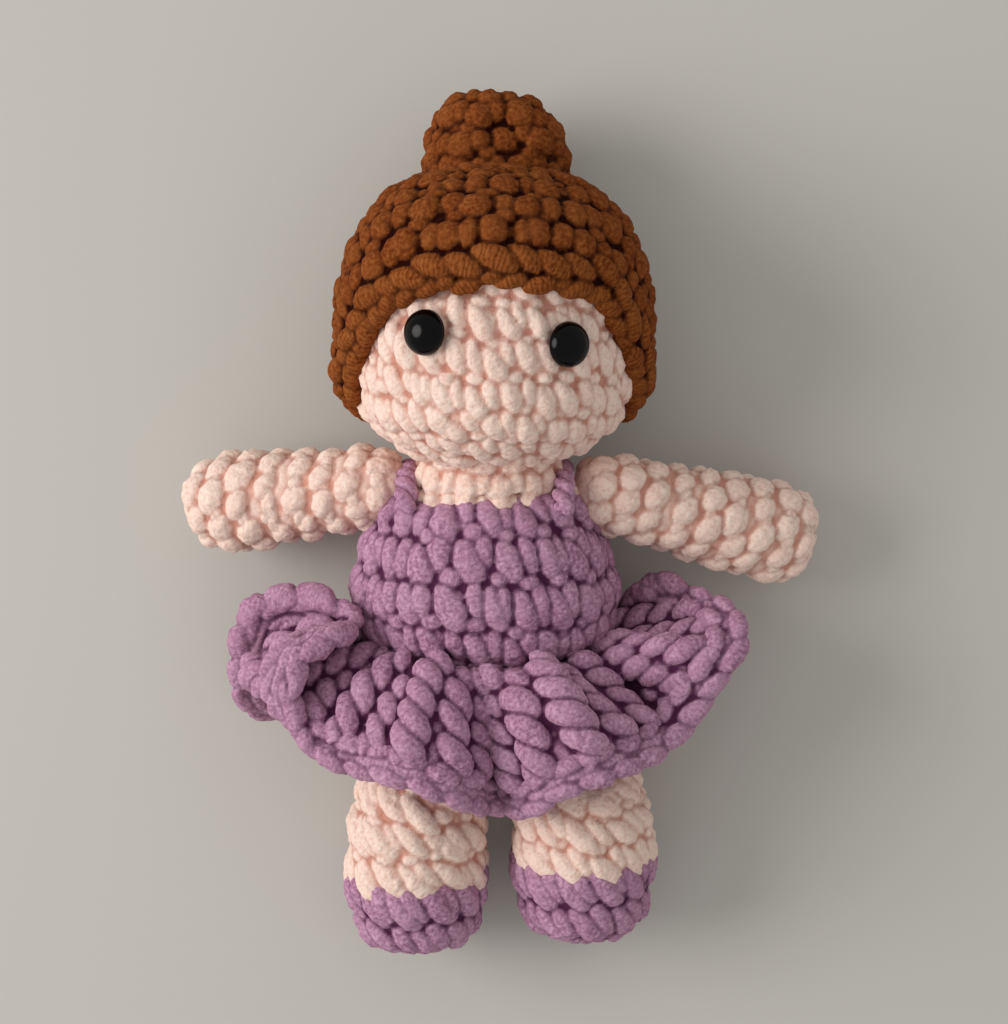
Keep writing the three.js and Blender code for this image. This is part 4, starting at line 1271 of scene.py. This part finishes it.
def ruffle(share, out):
    """The ruffle's middle surface: share runs round the waist, out from the waist to the hem."""
    share = np.asarray(share, float)
    start = waist(share - SLANT * np.exp(-((share - SLANT_PLACE) / SLANT_WIDTH) ** 2))
    line = hem_line(share)
    end = line[..., :3]
    centre = np.stack([np.full(start.shape[:-1], BODY.shift[0]), start[..., 1],
                       np.full(start.shape[:-1], BODY.shift[2])], -1)
    away = unit(start - centre)
    knee = start + away * np.linalg.norm(end - start, axis=-1, keepdims=True) * RUFFLE_FLARE
    knee = knee + unit((end - centre) * (1, 1, 0)) * line[..., 4:5]
    knee[..., 1] = start[..., 1] + (end - start)[..., 1] * RUFFLE_DROP
    knee[..., 2] = np.maximum(knee[..., 2] + line[..., 3], RUFFLE_LOWEST)
    t = np.asarray(out)[..., None]
    return start * (1 - t) ** 2 + 2 * knee * t * (1 - t) + end * t ** 2


def ruffle_on(share, out, lift):
    place = ruffle(share, out)
    along = ruffle(share, np.minimum(out + STEP_OUT, 1)) - ruffle(share, np.maximum(out - STEP_OUT, 0))
    round_way = ruffle(share + STEP_SHARE, out) - ruffle(share - STEP_SHARE, out)
    normal = unit(np.cross(along, round_way))
    return place + normal * lift[..., None], normal


# The two halves, between shares of the way round
SIDES = {"left": (0.5, 1.0), "right": (0.0, 0.5)}
# Where the posts are evenly spaced, begin and end, between waist and hem
SPACED_AT = 0.62
POST_START = 0.03
POST_END = 0.93
# A post's two strands: radius of their twist and of each against the post's, and length of a turn
POST_TWIST = 0.42
POST_STRAND = 0.64
POST_PITCH = 14
# The ground between the posts: half its thickness, and where it ends
GROUND = 0.9
GROUND_END = 0.97
# The hem's lobes: distance between two, half their length, and thickness against the braid's half
LOBE_SPACING = 9.2
LOBE_REACH = 7.2
LOBE_THICKNESS = 0.62
# How the two rows of lobes are staggered, in lobes; how far each lies off the middle line, leans over it,
# arches and sinks, against the braid's half; and how far the braid is drawn in
LOBE_STAGGER = 0.22
LOBE_OFF = 0.52
LOBE_LEAN = 0.26
LOBE_ARCH = 0.5
LOBE_SINK = 0.35
BRAID_INSET = 1.2
# How far the braid ends before its half's ends, and where on the ruffle its outward direction starts
BRAID_END = 0.3
BRAID_ROOT = 0.96
ROLLED_OUT = (1, 1, 0.4)


class KnitSkirt(bpy.types.Operator):
    """Crochets the ruffled skirt, post by post, and its braided hem"""

    bl_idname = "doll.skirt"
    bl_label = "Skirt"

    def execute(self, context):
        stitches = context.scene.doll_stitches
        share = np.linspace(0, 1, 1441)
        girth = distances(ruffle(share, np.full(share.shape, SPACED_AT)))
        for number, (side, (start, stop)) in enumerate(SIDES.items()):
            strands = Strands(40 + number)
            low, high = np.interp([start, stop], share, girth)
            count = round((high - low) / (stitches.post_spacing / MM))
            at = low + (np.arange(count) + 0.5) * (high - low) / count + strands.rng.normal(0, 0.4, count)
            for post, place in enumerate(np.interp(at, girth, share)):
                self.post(strands, place, post, stitches.post_thickness / MM)
            self.sheet(strands, start, stop)
            skirt = knit(f"skirt_{side}_crochet", strands)
            self.place(skirt, side, "skirt")
            strands = Strands(44 + number)
            self.braid(strands, start, stop, stitches.hem_thickness / MM)
            braid = knit(f"skirt_hem_{side}_crochet", strands)
            self.place(braid, side, "skirt_hem")
        return {"FINISHED"}

    def place(self, piece, side, node):
        piece.data.materials.append(slot_material("purple_yarn"))
        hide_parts(node)
        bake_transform(piece)

    def post(self, strands, share, number, thickness):
        """One double crochet post: two fat strands twisted from the waist to the hem."""
        rng = strands.rng
        out = np.linspace(POST_START, POST_END, 30)
        gather = (1 - out) ** 2 * (2.4 if number % 2 else -1.6) + (0.5 if number % 2 else -0.5)
        middle, normal = ruffle_on(share + rng.normal(0, 0.001) + 0 * out, out, gather + rng.normal(0, 0.35))
        radius = thickness / 2 * (1 + rng.normal(0, 0.05))
        taper = np.interp(out, [POST_START, 0.14, 0.84, POST_END], [0.6, 1.0, 1.0, 0.7])
        taper = taper * (1 + 0.07 * np.sin(9 * out + rng.uniform(0, 2 * math.pi)))
        rope(strands, middle, normal, radius * POST_TWIST, radius * POST_STRAND,
             pitch=POST_PITCH + rng.normal(0, 1), phase=rng.uniform(0, 2 * math.pi), flat=0.92, taper=taper)

    def sheet(self, strands, start, stop):
        """The thin ground between the posts."""
        steps = (np.linspace(start, stop, 90), np.linspace(0.0, GROUND_END, 22))
        share, out = np.meshgrid(*steps, indexing="ij")
        top, _ = ruffle_on(share, out, np.full(share.shape, GROUND))
        bottom, _ = ruffle_on(share, out, np.full(share.shape, -GROUND))
        strands.fill(*skin_of(np.concatenate([top, bottom[:, ::-1]], axis=1)[::-1]))

    def braid(self, strands, start, stop, thickness):
        """The hem: two rows of slanted lobes, one row on each side of its middle line."""
        rng = strands.rng
        share = np.linspace(start, stop, 721)
        travelled = distances(hem(share))
        count = round(travelled[-1] / LOBE_SPACING)
        radius = thickness / 2
        for side in (-1, 1):
            for k in range(count):
                middle = (k + 0.5 + LOBE_STAGGER * side + rng.normal(0, 0.05)) / count * travelled[-1]
                way = SAMPLES * 2 - 1
                at = middle + way * (LOBE_REACH + rng.normal(0, 0.4))
                where = np.interp(np.clip(at, BRAID_END, travelled[-1] - BRAID_END), travelled, share)
                place, outward = self.rolled(where)
                tangent = unit(hem(where + STEP_SHARE) - hem(where - STEP_SHARE))
                up = unit(np.cross(outward, tangent))
                thick = radius * hem_line(where)[:, 5]
                slip = side * thick * (LOBE_OFF + LOBE_LEAN * way)
                lift = LOBE_ARCH * thick * (1 - way ** 2) - LOBE_SINK * thick + rng.normal(0, 0.15)
                centre = place + outward * (slip - BRAID_INSET)[:, None] + up * lift[:, None]
                half = thick * LOBE_THICKNESS * plump(SAMPLES) * (1 + rng.normal(0, 0.05))
                strands.lay(centre[None], half[None], half[None], up[None])
        at = np.linspace(start, stop, 181)
        place, outward = self.rolled(at)
        half = np.full(at.shape, radius * LOBE_THICKNESS)
        strands.lay((place - outward)[None], half[None], half[None], outward[None])

    def rolled(self, share):
        """Places on the hem, and the direction in which the braid stands out from the ruffle there."""
        place = hem(share)
        return place, unit((place - ruffle(share, np.full(share.shape, BRAID_ROOT))) * ROLLED_OUT)


# The eyes' places from the head's centre, how deep they are sewn in and how far they look outwards
EYES = {"left": (-17.4, 7.0), "right": (19.1, 3.8)}
EYE_SINK = 1.4
EYE_OUTWARD = 0.16
# A safety eye: its post's radius, its tip's share of that, and where it tapers and ends behind the face;
# the seat and rim of its dome, and the facets round it
EYE_POST_RADIUS = 1.8
EYE_POST_TIP_SHARE = 0.8
EYE_POST_TAPER = -11.8
EYE_POST_TIP = -12.5
EYE_SEAT = 1.0
EYE_SEAT_SHARE = 0.93
EYE_BEVEL = 0.15
EYE_RIM = 0.4
EYE_SIDES = 64


class MakeEyes(bpy.types.Operator):
    """Turns the domed safety eyes and finishes their washers"""

    bl_idname = "doll.eyes"
    bl_label = "Eyes"

    def execute(self, context):
        eyes = context.scene.doll_eyes
        for side, (x, above) in EYES.items():
            across, up = x / HEAD_RADIUS, above / HEAD_HALF_HEIGHT
            front = math.sqrt(1 - across ** 2 - up ** 2)
            depth = HEAD_RADIUS * HEAD_DEPTH
            place = (x, HEAD_CENTRE_HEIGHT + above, depth * front)
            way = unit(np.array([across / HEAD_RADIUS, up / HEAD_HALF_HEIGHT, front / depth]))
            facing = unit(way + np.array([EYE_OUTWARD * math.copysign(1, x), 0, 0]))
            placed = HEAD.then(turn_to(facing), np.array(place) - way * EYE_SINK)
            piece = self.dome(f"safety_eye_{side}", placed, eyes.radius / MM, eyes.dome / MM)
            finish_piece(piece, "eye_plastic", "head", f"eye_{side}")
            washer = frame["nodes"][f"eye_washer_{side}"]
            washer.data.materials.clear()
            washer.data.materials.append(slot_material("washer_plastic"))
        return {"FINISHED"}

    def dome(self, name, placed, radius, dome):
        profile = [
            (EYE_POST_RADIUS * EYE_POST_TIP_SHARE, EYE_POST_TIP), (EYE_POST_RADIUS, EYE_POST_TAPER),
            (EYE_POST_RADIUS, EYE_SEAT),
            (radius * EYE_SEAT_SHARE, EYE_SEAT), (radius, EYE_SEAT + EYE_BEVEL), (radius, EYE_SEAT + EYE_RIM),
        ]
        for angle in np.linspace(0.08, math.pi / 2, 20)[:-1]:
            rise = (dome + EYE_RIM) * math.sin(angle)
            profile.append((radius * math.cos(angle), EYE_SEAT + EYE_RIM + rise))
        across, along = np.array(profile).T[..., None]
        turns = np.linspace(0, 2 * math.pi, EYE_SIDES, endpoint=False)
        grid = np.stack([across * np.sin(turns), along + 0 * turns, across * np.cos(turns)], -1)
        points, faces = skin_of(placed.out(grid))
        mesh = mesh_from(name, points * MM, faces)
        mesh.polygons.foreach_set("use_smooth", np.ones(len(mesh.polygons), bool))
        return linked(name, mesh)


# The sewing yarn of each kind of limb: its frame, the ball it goes round, its reach over it, half its width
SEWING = {"arm": (arm_frame, SHOULDER_BALL, 3.6, 0.6), "leg": (leg_frame, HIP_BALL, 6.2, 0.75)}
WHIP_STITCHES = 10
WHIP_POINTS = 14


class FillDoll(bpy.types.Operator):
    """Fills head, bun, body, arms and legs, and sews the limbs on"""

    bl_idname = "doll.filling"
    bl_label = "Filling and sewing yarn"

    def execute(self, context):
        for node in list(frame["nodes"]):
            if "stuffing" in node:
                self.fibres(node)
        for kind, body in (("arm", "shoulder"), ("leg", "hip")):
            for name in ("left", "right"):
                self.sewing(kind, name, f"{body}_{name}")
        return {"FINISHED"}

    def fibres(self, node):
        mesh = frame["nodes"][node].data.copy()
        points = read(mesh.vertices, "co", np.float32, 3) / MM
        mesh.calc_loop_triangles()
        faces = read(mesh.loop_triangles, "vertices", np.int32, 3)
        strands = Strands(60)
        strands.fill(points, faces)
        piece = knit(f"{node}_fibre", strands, FILLING_DETAIL)
        finish_piece(piece, "stuffing", piece_body(node), node)

    def sewing(self, kind, name, body):
        """A ring of short whip stitches round the root of a limb."""
        limb_place, ball, reach, yarn = SEWING[kind]
        placed = limb_place(name)
        strands = Strands(50)
        ball += 0.3 + yarn
        for k in range(WHIP_STITCHES):
            turn = 2 * math.pi * k / WHIP_STITCHES
            way = np.linspace(0.15, 1, WHIP_POINTS)
            angle = np.arcsin(reach / ball) * way
            spin = turn + 0.35 * way
            away = ball * np.sin(angle)
            local = np.stack([away * np.cos(spin), -ball * np.cos(angle), away * np.sin(spin)], -1)
            path = placed.out(local)
            half = np.full((1, WHIP_POINTS), yarn)
            strands.lay(path[None], half, half, unit(path - placed.shift)[None], sides=8)
        piece = knit(f"{kind}_sewing_{name}", strands, SEWING_DETAIL)
        finish_piece(piece, "skin_yarn", body, f"{kind}_stitch_{name}")


def piece_body(node):
    bodies = frame["record"]["behaviour"]["bodies"]
    return next(body for body, members in bodies.items() if node in members)


# The stage, in metres: the floor's half width, the lamp, and the camera's place over the doll's middle.
# The picture's height is in pixels.
FLOOR_HALF = 1.5
ROOM_COLOUR = (1.0, 0.985, 0.96, 1)
LAMP_PLACE = (-1.06, 0.13, 0.65)
LAMP_AIM = (0, 0.02, 0.03)
LAMP_SIZE = 0.9
LAMP_SPREAD = math.radians(90)
LAMP_COLOUR = (1, 0.975, 0.94)
CAMERA_PLACE = (0.0019, 0.027)
PICTURE_HEIGHT = 1024


class SetStage(bpy.types.Operator):
    """Lays the plain floor, the soft light and the camera above the doll"""

    bl_idname = "doll.stage"
    bl_label = "Stage"

    def execute(self, context):
        stage = context.scene.doll_stage
        self.floor(stage)
        self.lights(context.scene, stage)
        self.camera(context.scene, stage)
        context.scene.view_settings.view_transform = "Standard"
        return {"FINISHED"}

    def floor(self, stage):
        corners = np.array([(-1, -1, 0), (1, -1, 0), (1, 1, 0), (-1, 1, 0)])
        mesh = mesh_from("floor", corners * FLOOR_HALF, np.array([(0, 1, 2, 3)]))
        floor = linked("floor", mesh)
        material, _, _, shader = new_material("Plain floor")
        set_inputs(shader, {"Base Color": (*stage.floor, 1), "Roughness": 0.9, "Specular IOR Level": 0.1})
        mesh.materials.append(material)

    def lights(self, scene, stage):
        world = bpy.data.worlds.new("Soft room")
        world.use_nodes = True
        background = world.node_tree.nodes["Background"]
        background.inputs["Color"].default_value = ROOM_COLOUR
        background.inputs["Strength"].default_value = stage.fill_strength
        scene.world = world
        light = bpy.data.lights.new("key_light", "AREA")
        light.shape = "DISK"
        light.size = LAMP_SIZE
        light.spread = LAMP_SPREAD
        light.energy = stage.key_strength
        light.color = LAMP_COLOUR
        lamp = bpy.data.objects.new("key_light", light)
        lamp.location = LAMP_PLACE
        lamp.rotation_euler = look(np.array(LAMP_AIM) - np.array(LAMP_PLACE))
        scene.collection.objects.link(lamp)

    def camera(self, scene, stage):
        data = bpy.data.cameras.new("camera")
        data.sensor_fit = "VERTICAL"
        data.sensor_height = 36
        data.lens = data.sensor_height * stage.focal_pixels / PICTURE_HEIGHT
        data.clip_start = 0.01
        camera = bpy.data.objects.new("camera", data)
        x, y = CAMERA_PLACE
        camera.location = (x, y + BODY.shift[1] * MM, stage.camera_height)
        scene.collection.objects.link(camera)
        scene.camera = camera


def look(way):
    """The turn that points a lamp's -Z along a direction."""
    x, y, z = unit(np.asarray(way, float))
    return (math.acos(-z), 0, math.atan2(-x, y))


class DollPanel(bpy.types.Panel):
    """Lists the doll's pieces and their settings"""

    bl_idname = "DOLL_PT_pieces"
    bl_label = "Doll"
    bl_space_type = "VIEW_3D"
    bl_region_type = "UI"
    bl_category = "Doll"

    def draw(self, context):
        for maker in MAKERS:
            self.layout.operator(maker.bl_idname)
        for group in SETTINGS:
            settings = getattr(context.scene, group)
            box = self.layout.box()
            for key in settings.bl_rna.properties.keys():
                if key not in ("rna_type", "name"):
                    box.prop(settings, key)


SETTINGS = {
    "doll_yarn": YarnSettings, "doll_stitches": StitchSettings, "doll_eyes": EyeSettings,
    "doll_stage": StageSettings,
}
MAKERS = (SetStage, KnitHead, KnitHair, KnitBody, KnitArms, KnitLegs, KnitSkirt, MakeEyes, FillDoll)


def register():
    for settings in SETTINGS.values():
        bpy.utils.register_class(settings)
    for key, settings in SETTINGS.items():
        setattr(bpy.types.Scene, key, bpy.props.PointerProperty(type=settings))
    for maker in MAKERS:
        bpy.utils.register_class(maker)
    bpy.utils.register_class(DollPanel)


def unregister():
    bpy.utils.unregister_class(DollPanel)
    for maker in reversed(MAKERS):
        bpy.utils.unregister_class(maker)
    for key, settings in SETTINGS.items():
        delattr(bpy.types.Scene, key)
        bpy.utils.unregister_class(settings)


def main():
    register()
    bpy.ops.doll.stage()
    bpy.ops.doll.head()
    bpy.ops.doll.hair()
    bpy.ops.doll.body()
    bpy.ops.doll.arms()
    bpy.ops.doll.legs()
    bpy.ops.doll.skirt()
    bpy.ops.doll.eyes()
    bpy.ops.doll.filling()


if __name__ == "__main__":
    main()
